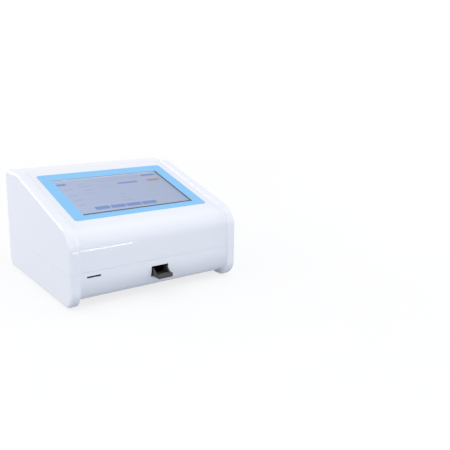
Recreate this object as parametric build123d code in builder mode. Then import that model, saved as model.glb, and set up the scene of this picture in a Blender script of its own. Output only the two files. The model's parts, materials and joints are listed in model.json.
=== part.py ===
from build123d import *
import math
import os

# Benchtop reader for fluorescence immunoassay test cassettes, in millimetres.
# +Z is up, +X is to the right of someone facing the screen, and the front, where the tray comes out, is -Y.
# The origin is on the table, under the middle of the box round the whole unit with its tray at rest.

# Casing, outside
case_width = 260.0
case_depth = 254.0
case_height = 155.0
wall = 2.6
slope_angle = 15.1
strip_depth = 50.7
crease_round = 30.0
brow_round = 28.0
back_round = 10.0
back_lean = 8.0
belly_angle = 25.0
belly_round = 56.0
underside_round = 18.5
base_height = 8.0
seam_height = 50.0
seam_gap = 0.4
form_overlap = 0.5
seam_tab_x = 66.0
seam_tab_length = 18.0
seam_tab_rise = 3.0
seam_tab_drop = 6.0
seam_tab_sheet = 1.8
seam_tab_root = 0.4

# The two side cheeks, which stand proud of the sloped face and the front panel, and just proud of the rest
cheek_width = 14.0
cheek_rise = 4.0
cheek_nose = 5.0
cheek_step = 0.2
cheek_round = 4.5
cheek_lip_round = 2.5
cheek_brow_round = 30.0
cheek_toe_round = 26.0
cheek_ground_gap = 0.6

# Clearances
fit_gap = 0.2
slide_gap = 0.6
bore_gap = 0.03
head_gap = 0.5
lens_gap = 0.1
hole_spare = 1.0

# Screen
membrane_side_gap = 12.0
membrane_top = 20.0
membrane_front_gap = 35.4
membrane_thickness = 0.6
membrane_inlay = 0.3
membrane_round = 5.0
window_side = 17.0
window_above = 20.5
window_below = 13.0
glass_border = 4.5
glass_thickness = 1.8
display_thickness = 6.0
display_frame_sheet = 1.2
display_lug_length = 6.0
display_post_radius = 3.2
glass_corner = 1.5
display_post_gap = 1.2
display_post_setback = 24.0
display_lug_width = 9.0
display_cutout_width = 72.0
display_board_width = 96.0
display_board_height = 44.0
display_chip = 14.0
display_chip_height = 1.6
display_connector_width = 30.0
display_connector_length = 5.0
display_connector_setback = 6.0

# Tray and its travel
tray_x = 2.5
tray_width = 23.0
tray_length = 110.0
tray_height = 11.6
tray_floor = 2.0
tray_wall = 1.7
tray_reach = 11.0
tray_nose_length = 8.0
tray_nose_height = 5.0
tray_bottom = 26.4
tray_travel_out = 42.0
tray_travel_in = 24.0
cassette_window_setback = 52.0
tray_rise_length = 9.0
scoop_radius = 2.6
scoop_depth = 1.4
scoop_length = 15.0
tray_nose_chamfer = 1.5
tray_nose_round = 1.5
tray_cavity_round = 1.0
clip_sheet = 0.4
clip_length = 7.0
clip_bow = 1.4
clip_height = 4.0
clip_lift = 0.8
clip_setbacks = (16.0, 27.0)

# Opening in the front panel, and its black liner
liner_wall = 1.0
liner_gap = 0.6
liner_headroom = 1.0
liner_depth = 9.0
liner_setback = 3.9
liner_flange = 2.4
liner_flange_sheet = 1.4
liner_flange_setback = 5.2
mouth_cut_spare = 6.0

# Tray drive: rods, carriage, rack and pinion
rod_radius = 2.0
rod_spacing = 30.0
rod_height = 20.6
rod_block_length = 6.0
bush_radius = 3.2
bush_length = 11.0
carriage_sheet = 1.8
carriage_end_gap = 1.1
rod_free_length = 70.0
gear_module = 0.8
pinion_teeth = 18
pinion_width = 4.6
gear_backlash = 0.16
rack_x = 27.0
rack_bar_width = 6.2
motor_radius = 12.5
motor_height = 16.0
motor_shaft_radius = 1.5
bush_wall = 1.6
bush_front_setback = 16.0
bush_back_setback = 1.0
rod_end_gap = 1.0
rod_chamfer = 0.4
rod_block_side = 4.0
rack_seat_gap = 0.5
rack_root_embed = 0.2
rack_spare = 0.8
pinion_lift = 0.4
pinion_lead = 3.0
pinion_root_embed = 0.3
gear_pressure_angle = 20.0
flank_steps = 6
motor_boss_radius = 4.0
motor_ear_reach = 17.0
motor_ear_radius = 3.6
motor_ear_sheet = 1.0
motor_chamfer = 1.0
shaft_depth = 12.0
shaft_overhang = 0.8
flag_offset = 5.8
flag_edge = 1.2
flag_chamfer = 1.0
flag_sheet = 0.8
flag_length = 8.0
flag_drop = 7.0
sensor_base = 2.0
sensor_headroom = 2.2
sensor_length = 9.0
sensor_arm = 1.6
sensor_gap = 0.9

# Chassis plate and the bridge that carries the optics and the motor
chassis_sheet = 2.0
chassis_gap = 2.0
chassis_front = 24.0
chassis_back_gap = 88.0
chassis_left = 36.0
chassis_right = 56.0
bridge_height = 41.0
bridge_sheet = 2.5
bridge_front = 46.0
bridge_length = 84.0
bridge_post_radius = 3.5
chassis_edge = 4.0
chassis_screw_setback = 8.0
bridge_corner = 3.0
bridge_post_setback = 5.0

# Optics
optics_width = 34.0
optics_length = 48.0
optics_height = 34.0
optics_bore = 6.0
beam_height = 17.0
disc_thickness = 2.0
optics_chamfer = 1.5
optics_screw_setback = 4.0
optics_behind_window = 35.0
lamp_bore = 5.0
objective_lift = 1.0
objective_bulge = 1.6
condenser_bulge = 1.2
condenser_setback = 9.0
excitation_setback = 4.0
emission_setback = 9.0
mirror_sheet = 1.0
mirror_width = 8.1
mirror_length = 11.4
lamp_radius = 2.8
lamp_length = 3.2
lamp_board_side = 24.0
detector_radius = 4.2
detector_height = 5.0
detector_board_side_gap = 3.0
detector_board_end_gap = 7.0
cover_wall = 1.2
cover_height = 12.0
cover_side_gap = 1.0
cover_end_gap = 4.0
cover_round = 2.0
reader_size = 18.0
reader_height = 9.0
reader_corner = 1.0
reader_lens_radius = 4.5
reader_behind_optics = 14.0

# Boards and sockets
board_sheet = 1.6
board_stand = 12.4
mainboard_left_gap = 3.0
mainboard_right = 57.0
mainboard_depth = 64.0
power_board_width = 44.0
power_board_depth = 52.0
board_post_radius = 3.0
board_edge = 5.0
board_back_gap = 0.5
post_embed = 0.3
power_board_gap = 8.0
power_board_setback = 130.0
chip_height = 1.4
heat_sink_size = 28.0
heat_sink_height = 8.0
heat_sink_base = 2.0
heat_sink_fins = 9
heat_sink_fin = 1.1
coin_cell_radius = 10.0
coin_cell_height = 3.2
coin_cell_chamfer = 0.5
coin_cell_lift = 1.2
coin_cell_wall = 1.8
coin_cell_holder_height = 4.0
coin_cell_right = 42.0
coin_cell_behind = 6.0
processor_left = 8.0
processor_ahead = 10.0
capacitor_radius = 5.0
capacitor_height = 14.0
coil_width = 14.0
coil_length = 10.0
coil_height = 8.0
speaker_x = -72.0
speaker_setback = 92.0
speaker_radius = 18.0
speaker_height = 9.0
speaker_flange = 3.0
speaker_cone_radius = 10.8
speaker_taper = 18.0
speaker_ring_wall = 1.6
speaker_ring_height = 4.0
speaker_hole_radius = 1.3
speaker_hole_pitch = 5.5
socket_stand_out = 0.6
lead_end_setback = 4.0
ribbon_sheet = 0.5
ribbon_width = 26.0
ribbon_end_gap = 0.3
ribbon_lean = 4.0
ribbon_drop = 16.0
ribbon_fall = 46.0
ribbon_upper_round = 8.0
ribbon_lower_round = 14.0
motor_lead_sheet = 1.2
motor_lead_width = 8.0
motor_lead_rise = 4.0
motor_lead_round = 12.0

# Rear panel
rear_panel_side_gap = 20.0
rear_panel_height = 92.0
rear_panel_bottom = 19.0
rear_panel_sheet = 1.6
rear_panel_setback = 10.0
rear_flange = 2.5
rear_flange_width = 4.0
rear_lug = 4.0
rear_screw_setback = 12.0
rear_panel_corner = 1.0
vent_width = 2.4
vent_height = 24.0
vent_pitch = 6.0
vent_count = 16
vent_x = -24.0
vent_setback = 26.0

# Card slot at the left of the front panel
card_side_gap = 20.0
card_height = 43.2
card_width = 19.8
card_slot = 2.4
card_socket_depth = 26.0
card_board_width = 40.0
card_board_depth = 34.0
card_board_edge = 4.0
card_board_setback = 1.0
card_body_wall = 3.0
card_body_height = 8.0
card_contacts = 8
card_contact_pitch = 2.2
card_contact_width = 0.9
card_contact_length = 9.0
card_contact_sheet = 0.5
card_contact_setback = 8.0

# Power switch at the back
switch_x = 72.0
switch_z = 70.0
switch_width = 13.0
switch_height = 19.6
switch_depth = 17.0
rocker_width = 9.6
rocker_reach = 7.9
rocker_throw = 8.0
switch_flange = 1.4
switch_rim = 1.0
switch_corner = 1.0
rocker_gap = 0.4
rocker_end_gap = 1.1
rocker_pocket_depth = 7.2
rocker_pin_radius = 1.2
rocker_pin_length = 1.0
rocker_pin_gap = 0.1
rocker_sink = 0.4
rocker_back = 4.4
rocker_front = 3.2
rocker_back_half = 2.4
rocker_waist = 1.0
rocker_waist_half = 7.4
rocker_dish = 1.9

# Feet and screws
foot_radius = 8.0
screw_radius = 1.5
screw_head_radius = 2.8
screw_head_height = 1.8
screw_socket = 1.26
screw_round = 0.54
screw_socket_depth = 1.08
display_screw_radius = 1.2
display_screw_head = 2.2
short_screw_bite = 5.0
long_screw_bite = 6.0
chassis_screw_bite = 2.6
casing_screw_length = 16.0
casing_screw_inset = 17.0
casing_screw_front = 48.0
casing_screw_back = 34.0
casing_post_radius = 4.0
casing_seat_wall = 1.0
casing_seat_depth = 3.4
casing_seat_rise = 5.4
foot_inset = 21.0
foot_front = 61.5
foot_back = 50.0
foot_chamfer = 1.0

# Worked out from the sizes above
half_width = case_width / 2
front_y = tray_reach - (case_depth + tray_reach) / 2
back_y = front_y + case_depth
crease_y = back_y - strip_depth
slope = math.radians(slope_angle)
panel_y = front_y + cheek_nose
inner_base = base_height + wall
recess_half = half_width - cheek_width
membrane_width = 2 * (recess_half - membrane_side_gap)
membrane_height = (crease_y - panel_y) / math.cos(slope) - membrane_top - membrane_front_gap
window_width = membrane_width - 2 * window_side
window_top = membrane_top + window_above
window_height = membrane_height - window_above - window_below
rear_panel_width = 2 * (recess_half - rear_panel_side_gap)
rear_panel_left = -rear_panel_width / 2
mainboard_left = rear_panel_left + mainboard_left_gap
mainboard_width = mainboard_right - mainboard_left
mainboard_x = (mainboard_left + mainboard_right) / 2
card_x = card_side_gap - recess_half
chassis_length = case_depth - chassis_front - chassis_back_gap
carriage_length = chassis_length - rod_free_length
SIDES = (-1, 1)
LOW = (Align.CENTER, Align.CENTER, Align.MIN)


def slope_z(y, rise=0.0):
    """Height of the sloped face at y, or of a face that lies rise above it, square to it."""
    return case_height - (crease_y - y) * math.tan(slope) + rise / math.cos(slope)


def back_edge(z):
    """Where the leaning back face stands at height z, so that the rounded back of a cheek ends at back_y."""
    lean = math.atan(back_lean / case_height)
    round_spare = back_round * (1 / math.cos(lean) - 1)
    round_height = cheek_ground_gap + back_round
    return back_y + round_spare - back_lean * (z - round_height) / case_height


def panel_outline():
    """Corners and corner radii of the middle of the casing, seen from the side."""
    belly = math.radians(belly_angle)
    first = belly_round * math.tan(belly / 2)
    second = underside_round * math.tan((math.pi / 2 - belly) / 2)
    run = first + second + 1.0
    corners = [
        (panel_y, base_height + run * math.cos(belly)),
        (panel_y + run * math.sin(belly), base_height),
        (back_edge(base_height) - cheek_step, base_height),
        (back_edge(case_height) - cheek_step, case_height - cheek_step),
        (crease_y - cheek_step / math.tan(slope), case_height - cheek_step),
        (panel_y, slope_z(panel_y)),
    ]
    radii = [belly_round, underside_round, back_round, back_round, crease_round, brow_round]
    return corners, radii


def cheek_outline():
    """Corners and corner radii of a side cheek, seen from the side."""
    corners = [
        (front_y, cheek_ground_gap),
        (back_edge(cheek_ground_gap), cheek_ground_gap),
        (back_edge(case_height), case_height),
        (crease_y - cheek_rise / math.sin(slope), case_height),
        (front_y, slope_z(front_y, cheek_rise)),
    ]
    radii = [cheek_toe_round, back_round, back_round, crease_round, cheek_brow_round]
    return corners, radii


def side_face(outline, inset=0.0):
    """A flat sketch of the side outline, drawn in by inset, with its own X along the casing's Y."""
    corners, radii = outline
    with BuildSketch() as face:
        with BuildLine():
            FilletPolyline(*corners, radius=radii, close=True)
        make_face()
        if inset:
            offset(amount=-inset)
    return face.sketch


def screw(length, head_radius=screw_head_radius, shank_radius=screw_radius):
    """A pan head screw with a hexagon socket: its shank runs down from the origin, its head stands up."""
    with BuildPart() as fastener:
        Cylinder(shank_radius, length, align=(Align.CENTER, Align.CENTER, Align.MAX))
        Cylinder(head_radius, screw_head_height, align=LOW)
        fillet(fastener.edges().sort_by(Axis.Z)[-1], screw_round)
        with BuildSketch(Plane.XY.offset(screw_head_height)):
            RegularPolygon(screw_socket, 6)
        extrude(amount=-screw_socket_depth, mode=Mode.SUBTRACT)
    return fastener.part


os.makedirs("parts", exist_ok=True)

# Outer form: the middle, and a cheek at each side with its long edges rounded
with BuildPart() as cheek_form:
    with BuildSketch(Plane.YZ.offset(recess_half)):
        add(side_face(cheek_outline()))
    extrude(amount=cheek_width)
    fillet(cheek_form.edges().group_by(Axis.X)[-1], cheek_round)
    fillet(cheek_form.edges().group_by(Axis.X)[0], cheek_lip_round)

with BuildPart() as outer_form:
    with BuildSketch(Plane.YZ):
        add(side_face(panel_outline()))
    extrude(amount=half_width - cheek_round - form_overlap, both=True)
    add(cheek_form.part)
    mirror(cheek_form.part, about=Plane.YZ)

# Hollow: the same forms drawn in by the wall
with BuildPart() as cheek_hollow:
    with BuildSketch(Plane.YZ.offset(recess_half + wall)):
        add(side_face(cheek_outline(), wall))
    extrude(amount=cheek_width - 2 * wall)
    fillet(cheek_hollow.edges().group_by(Axis.X)[-1], cheek_round - wall)

with BuildPart() as inner_form:
    with BuildSketch(Plane.YZ):
        add(side_face(panel_outline(), wall))
    extrude(amount=recess_half + wall, both=True)
    add(cheek_hollow.part)
    mirror(cheek_hollow.part, about=Plane.YZ)

# Rear panel seat: a block in the back wall, with a pocket for the panel and an opening inside it
panel_face_y = back_y - rear_panel_setback
panel_back_y = panel_face_y - rear_panel_sheet
seat_width = rear_panel_width + 2 * fit_gap
seat_height = rear_panel_height + 2 * fit_gap
rear_mid_z = rear_panel_bottom + rear_panel_height / 2
rear_panel_top = rear_panel_bottom + rear_panel_height
opening_width = rear_panel_width - 2 * rear_flange_width
opening_height = rear_panel_height - 2 * rear_flange_width

# Opening for the tray, its liner and the tray all share these
liner_inner_width = tray_width + 2 * liner_gap
liner_inner_height = tray_height + 2 * liner_gap + liner_headroom
liner_bottom = tray_bottom - liner_gap
mouth_width = liner_inner_width + 2 * liner_wall + 2 * fit_gap
mouth_height = liner_inner_height + 2 * liner_wall + 2 * fit_gap
mouth_bottom = liner_bottom - liner_wall - fit_gap

# Casing screws stand in line with posts that hang from the upper casing
casing_screw_spots = [
    (side * (recess_half - casing_screw_inset), y)
    for side in SIDES
    for y in (front_y + casing_screw_front, back_y - casing_screw_back)
]
casing_post_bottom = inner_base + casing_seat_rise
casing_seat_z = base_height + casing_seat_depth
casing_screw_bite = casing_screw_length - (casing_post_bottom - casing_seat_z)

# Screen seat, measured down the slope from the crease
slope_plane = Plane(
    origin=(0, crease_y, case_height),
    x_dir=(1, 0, 0),
    z_dir=(0, -math.sin(slope), math.cos(slope)),
)
membrane_mid = -(membrane_top + membrane_height / 2)
window_mid = -(window_top + window_height / 2)
glass_width = window_width + 2 * glass_border
glass_height = window_height + 2 * glass_border
glass_top = -membrane_inlay
display_top = glass_top - glass_thickness
display_bottom = display_top - display_thickness
display_post_x = glass_width / 2 + display_lug_length / 2 + display_post_gap
display_post_spots = [
    (side * display_post_x, window_mid + end * (glass_height / 2 - display_post_setback))
    for side in SIDES
    for end in SIDES
]

with BuildPart() as shell_form:
    add(outer_form.part)
    add(inner_form.part, mode=Mode.SUBTRACT)

with BuildPart() as rear_seat_form:
    with BuildSketch(Plane.XZ.offset(-back_y)):
        with Locations((0, rear_mid_z)):
            Rectangle(seat_width + 2 * wall, seat_height + 2 * wall)
    extrude(amount=rear_panel_setback + rear_panel_sheet + rear_flange)
    add(outer_form.part, mode=Mode.INTERSECT)

with BuildPart() as post_form:
    with BuildSketch(Plane.XY.offset(casing_post_bottom)):
        with Locations(*casing_screw_spots):
            Circle(casing_post_radius)
    extrude(amount=case_height)
    add(outer_form.part, mode=Mode.INTERSECT)

with BuildPart() as casing_form:
    add(shell_form.part)
    add(rear_seat_form.part)
    with BuildSketch(Plane.XZ.offset(-back_y)):
        with Locations((0, rear_mid_z)):
            Rectangle(seat_width, seat_height)
    extrude(amount=rear_panel_setback + rear_panel_sheet, mode=Mode.SUBTRACT)
    with BuildSketch(Plane.XZ.offset(-back_y)):
        with Locations((0, rear_mid_z)):
            Rectangle(opening_width, opening_height)
    extrude(amount=rear_panel_setback * 3, mode=Mode.SUBTRACT)

# Rear panel screws go into these spots, in both halves of the casing
rear_screw_spots = [
    (side * (rear_panel_width / 2 - rear_flange_width), z)
    for side in SIDES
    for z in (rear_panel_bottom + rear_screw_setback, rear_panel_top - rear_screw_setback)
]

with BuildPart() as upper_casing:
    add(casing_form.part)
    add(post_form.part)
    with BuildSketch(Plane.XY.offset(seam_height + seam_gap)):
        Rectangle(case_width * 2, case_depth * 2)
    extrude(amount=case_height, mode=Mode.INTERSECT)
    with BuildSketch(Plane.XY.offset(casing_post_bottom)):
        with Locations(*casing_screw_spots):
            Circle(casing_post_radius)
    extrude(amount=seam_height + seam_gap - casing_post_bottom)
    with BuildSketch(Plane.XY.offset(casing_post_bottom)):
        with Locations(*casing_screw_spots):
            Circle(screw_radius + bore_gap)
    extrude(amount=casing_screw_bite + hole_spare, mode=Mode.SUBTRACT)
    with BuildSketch(slope_plane.offset(-wall)):
        with Locations(*display_post_spots):
            Circle(display_post_radius)
    extrude(amount=display_bottom + wall)
    with BuildSketch(slope_plane.offset(-membrane_inlay)):
        with Locations((0, membrane_mid)):
            RectangleRounded(membrane_width + 2 * fit_gap, membrane_height + 2 * fit_gap, membrane_round)
    extrude(amount=cheek_rise, mode=Mode.SUBTRACT)
    with BuildSketch(slope_plane.offset(-wall * 2)):
        with Locations((0, window_mid)):
            Rectangle(window_width, window_height)
    extrude(amount=wall * 4, mode=Mode.SUBTRACT)
    with BuildSketch(slope_plane.offset(glass_top)):
        with Locations((0, window_mid)):
            Rectangle(glass_width + 2 * fit_gap, glass_height + 2 * fit_gap)
    extrude(amount=-wall * 2, mode=Mode.SUBTRACT)
    with BuildSketch(slope_plane.offset(display_bottom)):
        with Locations(*display_post_spots):
            Circle(display_screw_radius + bore_gap)
    extrude(amount=display_thickness, mode=Mode.SUBTRACT)
    with BuildSketch(Plane.XZ.offset(-(panel_back_y - rear_flange - rear_lug))):
        with Locations(*[spot for spot in rear_screw_spots if spot[1] > seam_height]):
            Circle(rear_flange_width)
    extrude(amount=-rear_lug)
    with BuildSketch(Plane.XZ.offset(-panel_back_y)):
        with Locations(*[spot for spot in rear_screw_spots if spot[1] > seam_height]):
            Circle(screw_radius + bore_gap)
    extrude(amount=rear_flange + rear_lug, mode=Mode.SUBTRACT)
upper_casing.part.label = "upper_casing"
export_step(upper_casing.part, "parts/upper_casing.step")

# Lower casing: the base, the lower part of the front with the tray's mouth, and the posts the boards stand on
board_bottom = inner_base + board_stand
board_top = board_bottom + board_sheet
mainboard_back = panel_back_y - rear_flange - board_back_gap
mainboard_mid_y = mainboard_back - mainboard_depth / 2


def corner_spots(x, y, width, depth, edge):
    """The four places that lie edge in from each corner of a rectangle about x and y."""
    return [
        (x + side * (width / 2 - edge), y + end * (depth / 2 - edge))
        for side in SIDES
        for end in SIDES
    ]


mainboard_spots = corner_spots(mainboard_x, mainboard_mid_y, mainboard_width, mainboard_depth, board_edge)
power_board_x = tray_x + chassis_right + power_board_gap + power_board_width / 2
power_board_y = front_y + power_board_setback
power_board_spots = corner_spots(
    power_board_x,
    power_board_y,
    power_board_width,
    power_board_depth,
    board_edge,
)
card_body_width = card_width + 2 * card_body_wall
card_body_front = panel_y + wall + slide_gap
card_board_top = card_height - card_body_height / 2
card_board_y = card_body_front + card_board_setback + card_board_depth / 2
card_board_spots = [
    (card_x + side * (card_board_width / 2 - card_board_edge), card_board_y + reach)
    for side in SIDES
    for reach in (0, card_board_depth / 2 - card_board_edge)
]
chassis_bottom = inner_base + chassis_gap
chassis_top = chassis_bottom + chassis_sheet
chassis_y = front_y + chassis_front + chassis_length / 2
chassis_x = tray_x + (chassis_right - chassis_left) / 2
chassis_width = chassis_left + chassis_right
chassis_post_x = chassis_width / 2 - chassis_edge
chassis_spots = [
    (chassis_x + side * chassis_post_x, chassis_y + end * (chassis_length / 2 - chassis_screw_setback))
    for side in SIDES
    for end in SIDES
]
speaker_y = front_y + speaker_setback
foot_spots = [
    (side * (recess_half - foot_inset), y)
    for side in SIDES
    for y in (front_y + foot_front, back_y - foot_back)
]

with BuildPart() as lower_casing:
    add(casing_form.part)
    with BuildSketch(Plane.XY.offset(seam_height)):
        Rectangle(case_width * 2, case_depth * 2)
    extrude(amount=-case_height, mode=Mode.INTERSECT)
    # Seats for the casing screws
    with BuildSketch(Plane.XY.offset(base_height + wall / 2)):
        with Locations(*casing_screw_spots):
            Circle(casing_post_radius + casing_seat_wall)
    extrude(amount=casing_post_bottom - fit_gap - base_height - wall / 2)
    with BuildSketch(Plane.XY.offset(base_height)):
        with Locations(*casing_screw_spots):
            Circle(screw_head_radius + head_gap)
    extrude(amount=casing_seat_z - base_height, mode=Mode.SUBTRACT)
    with BuildSketch(Plane.XY.offset(casing_seat_z)):
        with Locations(*casing_screw_spots):
            Circle(screw_radius + fit_gap)
    extrude(amount=casing_post_bottom, mode=Mode.SUBTRACT)
    # Posts under the boards and the chassis plate
    with BuildSketch(Plane.XY.offset(base_height + wall / 2)):
        with Locations(*mainboard_spots, *power_board_spots):
            Circle(board_post_radius)
    extrude(amount=board_bottom - base_height - wall / 2)
    with BuildSketch(Plane.XY.offset(inner_base - post_embed)):
        with Locations(*card_board_spots):
            Circle(board_post_radius)
    extrude(amount=card_board_top - board_sheet - inner_base + post_embed)
    with BuildSketch(Plane.XY.offset(base_height + wall / 2)):
        with Locations(*chassis_spots):
            Circle(board_post_radius + casing_seat_wall)
    extrude(amount=chassis_bottom - base_height - wall / 2)
    with BuildSketch(Plane.XY.offset(board_bottom)):
        with Locations(*mainboard_spots, *power_board_spots):
            Circle(screw_radius + bore_gap)
    extrude(amount=-(short_screw_bite + hole_spare), mode=Mode.SUBTRACT)
    with BuildSketch(Plane.XY.offset(card_board_top - board_sheet)):
        with Locations(*card_board_spots):
            Circle(screw_radius + bore_gap)
    extrude(amount=-(short_screw_bite + hole_spare), mode=Mode.SUBTRACT)
    with BuildSketch(Plane.XY.offset(chassis_bottom)):
        with Locations(*chassis_spots):
            Circle(screw_radius + bore_gap)
    extrude(amount=-(chassis_screw_bite + hole_spare), mode=Mode.SUBTRACT)
    # Ring round the speaker and the holes it sounds through
    with BuildSketch(Plane.XY.offset(base_height + wall / 2)):
        with Locations((speaker_x, speaker_y)):
            Circle(speaker_radius + fit_gap + speaker_ring_wall)
            Circle(speaker_radius + fit_gap, mode=Mode.SUBTRACT)
    extrude(amount=wall / 2 + speaker_ring_height)
    with BuildSketch(Plane.XY.offset(base_height)):
        for ring in (0, 1, 2):
            with Locations((speaker_x, speaker_y)):
                with PolarLocations(ring * speaker_hole_pitch, max(1, ring * 6)):
                    Circle(speaker_hole_radius)
    extrude(amount=wall, mode=Mode.SUBTRACT)
    # Lugs for the lower screws of the rear panel
    with BuildSketch(Plane.XZ.offset(-(panel_back_y - rear_flange - rear_lug))):
        with Locations(*[spot for spot in rear_screw_spots if spot[1] < seam_height]):
            Circle(rear_flange_width)
    extrude(amount=-rear_lug)
    with BuildSketch(Plane.XZ.offset(-panel_back_y)):
        with Locations(*[spot for spot in rear_screw_spots if spot[1] < seam_height]):
            Circle(screw_radius + bore_gap)
    extrude(amount=rear_flange + rear_lug, mode=Mode.SUBTRACT)
    # Tabs that reach up behind the front wall of the upper casing and line the two halves up
    tab_y = panel_y + wall
    with BuildSketch(Plane.XY.offset(seam_height)):
        with Locations(*[(side * seam_tab_x, tab_y + seam_tab_sheet / 2 - seam_tab_root) for side in SIDES]):
            Rectangle(seam_tab_length, seam_tab_sheet + 2 * seam_tab_root)
    extrude(amount=-seam_tab_drop)
    with BuildSketch(Plane.XY.offset(seam_height - seam_tab_drop)):
        with Locations(*[(side * seam_tab_x, tab_y + seam_tab_sheet / 2 + fit_gap) for side in SIDES]):
            Rectangle(seam_tab_length, seam_tab_sheet)
    extrude(amount=seam_tab_drop + seam_tab_rise)
    # Tray mouth and card slot, through the front wall
    with BuildSketch(Plane.XZ.offset(-front_y)):
        with Locations((tray_x, mouth_bottom + mouth_height / 2)):
            Rectangle(mouth_width, mouth_height)
        with Locations((card_x, card_height)):
            Rectangle(card_width, card_slot)
    extrude(amount=-(cheek_nose + wall + mouth_cut_spare), mode=Mode.SUBTRACT)
lower_casing.part.label = "lower_casing"
export_step(lower_casing.part, "parts/lower_casing.step")

# Rubber feet
with BuildPart() as rubber_feet:
    with BuildSketch():
        with Locations(*foot_spots):
            Circle(foot_radius)
    extrude(amount=base_height)
    chamfer(rubber_feet.faces().group_by(Axis.Z)[0].edges(), foot_chamfer)
rubber_feet.part.label = "rubber_feet"
export_step(rubber_feet.part, "parts/rubber_feet.step")

# Screws that hold the two halves of the casing together, put in from below
casing_screw = screw(casing_screw_length)
with BuildPart() as casing_screws:
    with Locations(*[Location((x, y, casing_seat_z), (180, 0, 0)) for x, y in casing_screw_spots]):
        add(casing_screw)
casing_screws.part.label = "casing_screws"
export_step(casing_screws.part, "parts/casing_screws.step")

# Screen: printed membrane, touch glass, display and the frame that holds them
with BuildPart() as screen_membrane:
    with BuildSketch(slope_plane.offset(-membrane_inlay)):
        with Locations((0, membrane_mid)):
            RectangleRounded(membrane_width, membrane_height, membrane_round)
        with Locations((0, window_mid)):
            Rectangle(window_width, window_height, mode=Mode.SUBTRACT)
    extrude(amount=membrane_thickness)
screen_membrane.part.label = "screen_membrane"
export_step(screen_membrane.part, "parts/screen_membrane.step")

with BuildPart() as touch_glass:
    with BuildSketch(slope_plane.offset(glass_top)):
        with Locations((0, window_mid)):
            RectangleRounded(glass_width, glass_height, glass_corner)
    extrude(amount=-glass_thickness)
touch_glass.part.label = "touch_glass"
export_step(touch_glass.part, "parts/touch_glass.step")

with BuildPart() as display_module:
    with BuildSketch(slope_plane.offset(display_top)):
        with Locations((0, window_mid)):
            Rectangle(glass_width, glass_height)
    extrude(amount=-display_thickness)
display_module.part.label = "display_module"
export_step(display_module.part, "parts/display_module.step")

with BuildPart() as display_frame:
    with BuildSketch(slope_plane.offset(display_bottom)):
        with Locations((0, window_mid)):
            Rectangle(glass_width, glass_height)
        for x, v in display_post_spots:
            with Locations((math.copysign(glass_width / 2 + display_lug_length / 2, x), v)):
                Rectangle(display_lug_length + 2 * display_post_radius, display_lug_width)
        with Locations((0, window_mid)):
            Rectangle(display_cutout_width, display_board_height, mode=Mode.SUBTRACT)
        with Locations(*display_post_spots):
            Circle(display_screw_radius + fit_gap, mode=Mode.SUBTRACT)
    extrude(amount=-display_frame_sheet)
display_frame.part.label = "display_frame"
export_step(display_frame.part, "parts/display_frame.step")

display_under = display_bottom - display_frame_sheet
display_connector_v = window_mid + display_board_height / 2 - display_connector_setback
with BuildPart() as display_board:
    with BuildSketch(slope_plane.offset(display_under)):
        with Locations((0, window_mid)):
            Rectangle(display_board_width, display_board_height)
    extrude(amount=-board_sheet)
    with BuildSketch(slope_plane.offset(display_under - board_sheet)):
        with Locations((0, window_mid - display_connector_setback)):
            with GridLocations(display_board_width / 2, 1, 2, 1):
                Rectangle(display_chip, display_chip)
        with Locations((0, display_connector_v)):
            Rectangle(display_connector_width, display_connector_length)
    extrude(amount=-display_chip_height)
display_board.part.label = "display_board"
export_step(display_board.part, "parts/display_board.step")

display_screw = screw(display_thickness - hole_spare, display_screw_head, display_screw_radius)
display_screw_places = [
    Plane(
        origin=slope_plane.from_local_coords((x, v, display_under)),
        x_dir=(1, 0, 0),
        z_dir=-slope_plane.z_dir,
    ).location
    for x, v in display_post_spots
]
with BuildPart() as display_screws:
    with Locations(*display_screw_places):
        add(display_screw)
display_screws.part.label = "display_screws"
export_step(display_screws.part, "parts/display_screws.step")

# Black liner of the tray's mouth: a square tube with a flange behind the front wall
liner_front = panel_y + liner_setback
liner_mid_z = liner_bottom + liner_inner_height / 2
liner_outer_width = liner_inner_width + 2 * liner_wall
liner_outer_height = liner_inner_height + 2 * liner_wall
liner_flange_y = panel_y + wall + liner_flange_setback
with BuildPart() as tray_mouth_liner:
    with BuildSketch(Plane.XZ.offset(-liner_front)):
        with Locations((tray_x, liner_mid_z)):
            Rectangle(liner_outer_width, liner_outer_height)
    extrude(amount=-liner_depth)
    with BuildSketch(Plane.XZ.offset(-liner_flange_y)):
        with Locations((tray_x, liner_mid_z)):
            Rectangle(liner_outer_width + 2 * liner_flange, liner_outer_height + 2 * liner_flange)
    extrude(amount=-liner_flange_sheet)
    with BuildSketch(Plane.XZ.offset(-liner_front)):
        with Locations((tray_x, liner_mid_z)):
            Rectangle(liner_inner_width, liner_inner_height)
    extrude(amount=-liner_depth, mode=Mode.SUBTRACT)
tray_mouth_liner.part.label = "tray_mouth_liner"
export_step(tray_mouth_liner.part, "parts/tray_mouth_liner.step")

# Card reader behind the slot
with BuildPart() as card_socket:
    with BuildSketch(Plane.XZ.offset(-card_body_front)):
        with Locations((card_x, card_height)):
            Rectangle(card_body_width, card_body_height)
            Rectangle(card_width, card_slot, mode=Mode.SUBTRACT)
    extrude(amount=-card_socket_depth)
    with BuildSketch(Plane.XZ.offset(-(card_body_front + card_socket_depth))):
        with Locations((card_x, card_height)):
            Rectangle(card_body_width, card_body_height)
    extrude(amount=-wall)
card_socket.part.label = "card_socket"
export_step(card_socket.part, "parts/card_socket.step")

with BuildPart() as card_contact_springs:
    with BuildSketch(Plane.XY.offset(card_height - card_slot / 2)):
        with Locations((card_x, card_body_front + card_socket_depth - card_contact_setback)):
            with GridLocations(card_contact_pitch, 1, card_contacts, 1):
                Rectangle(card_contact_width, card_contact_length)
    extrude(amount=card_contact_sheet)
card_contact_springs.part.label = "card_contact_springs"
export_step(card_contact_springs.part, "parts/card_contact_springs.step")

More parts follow.
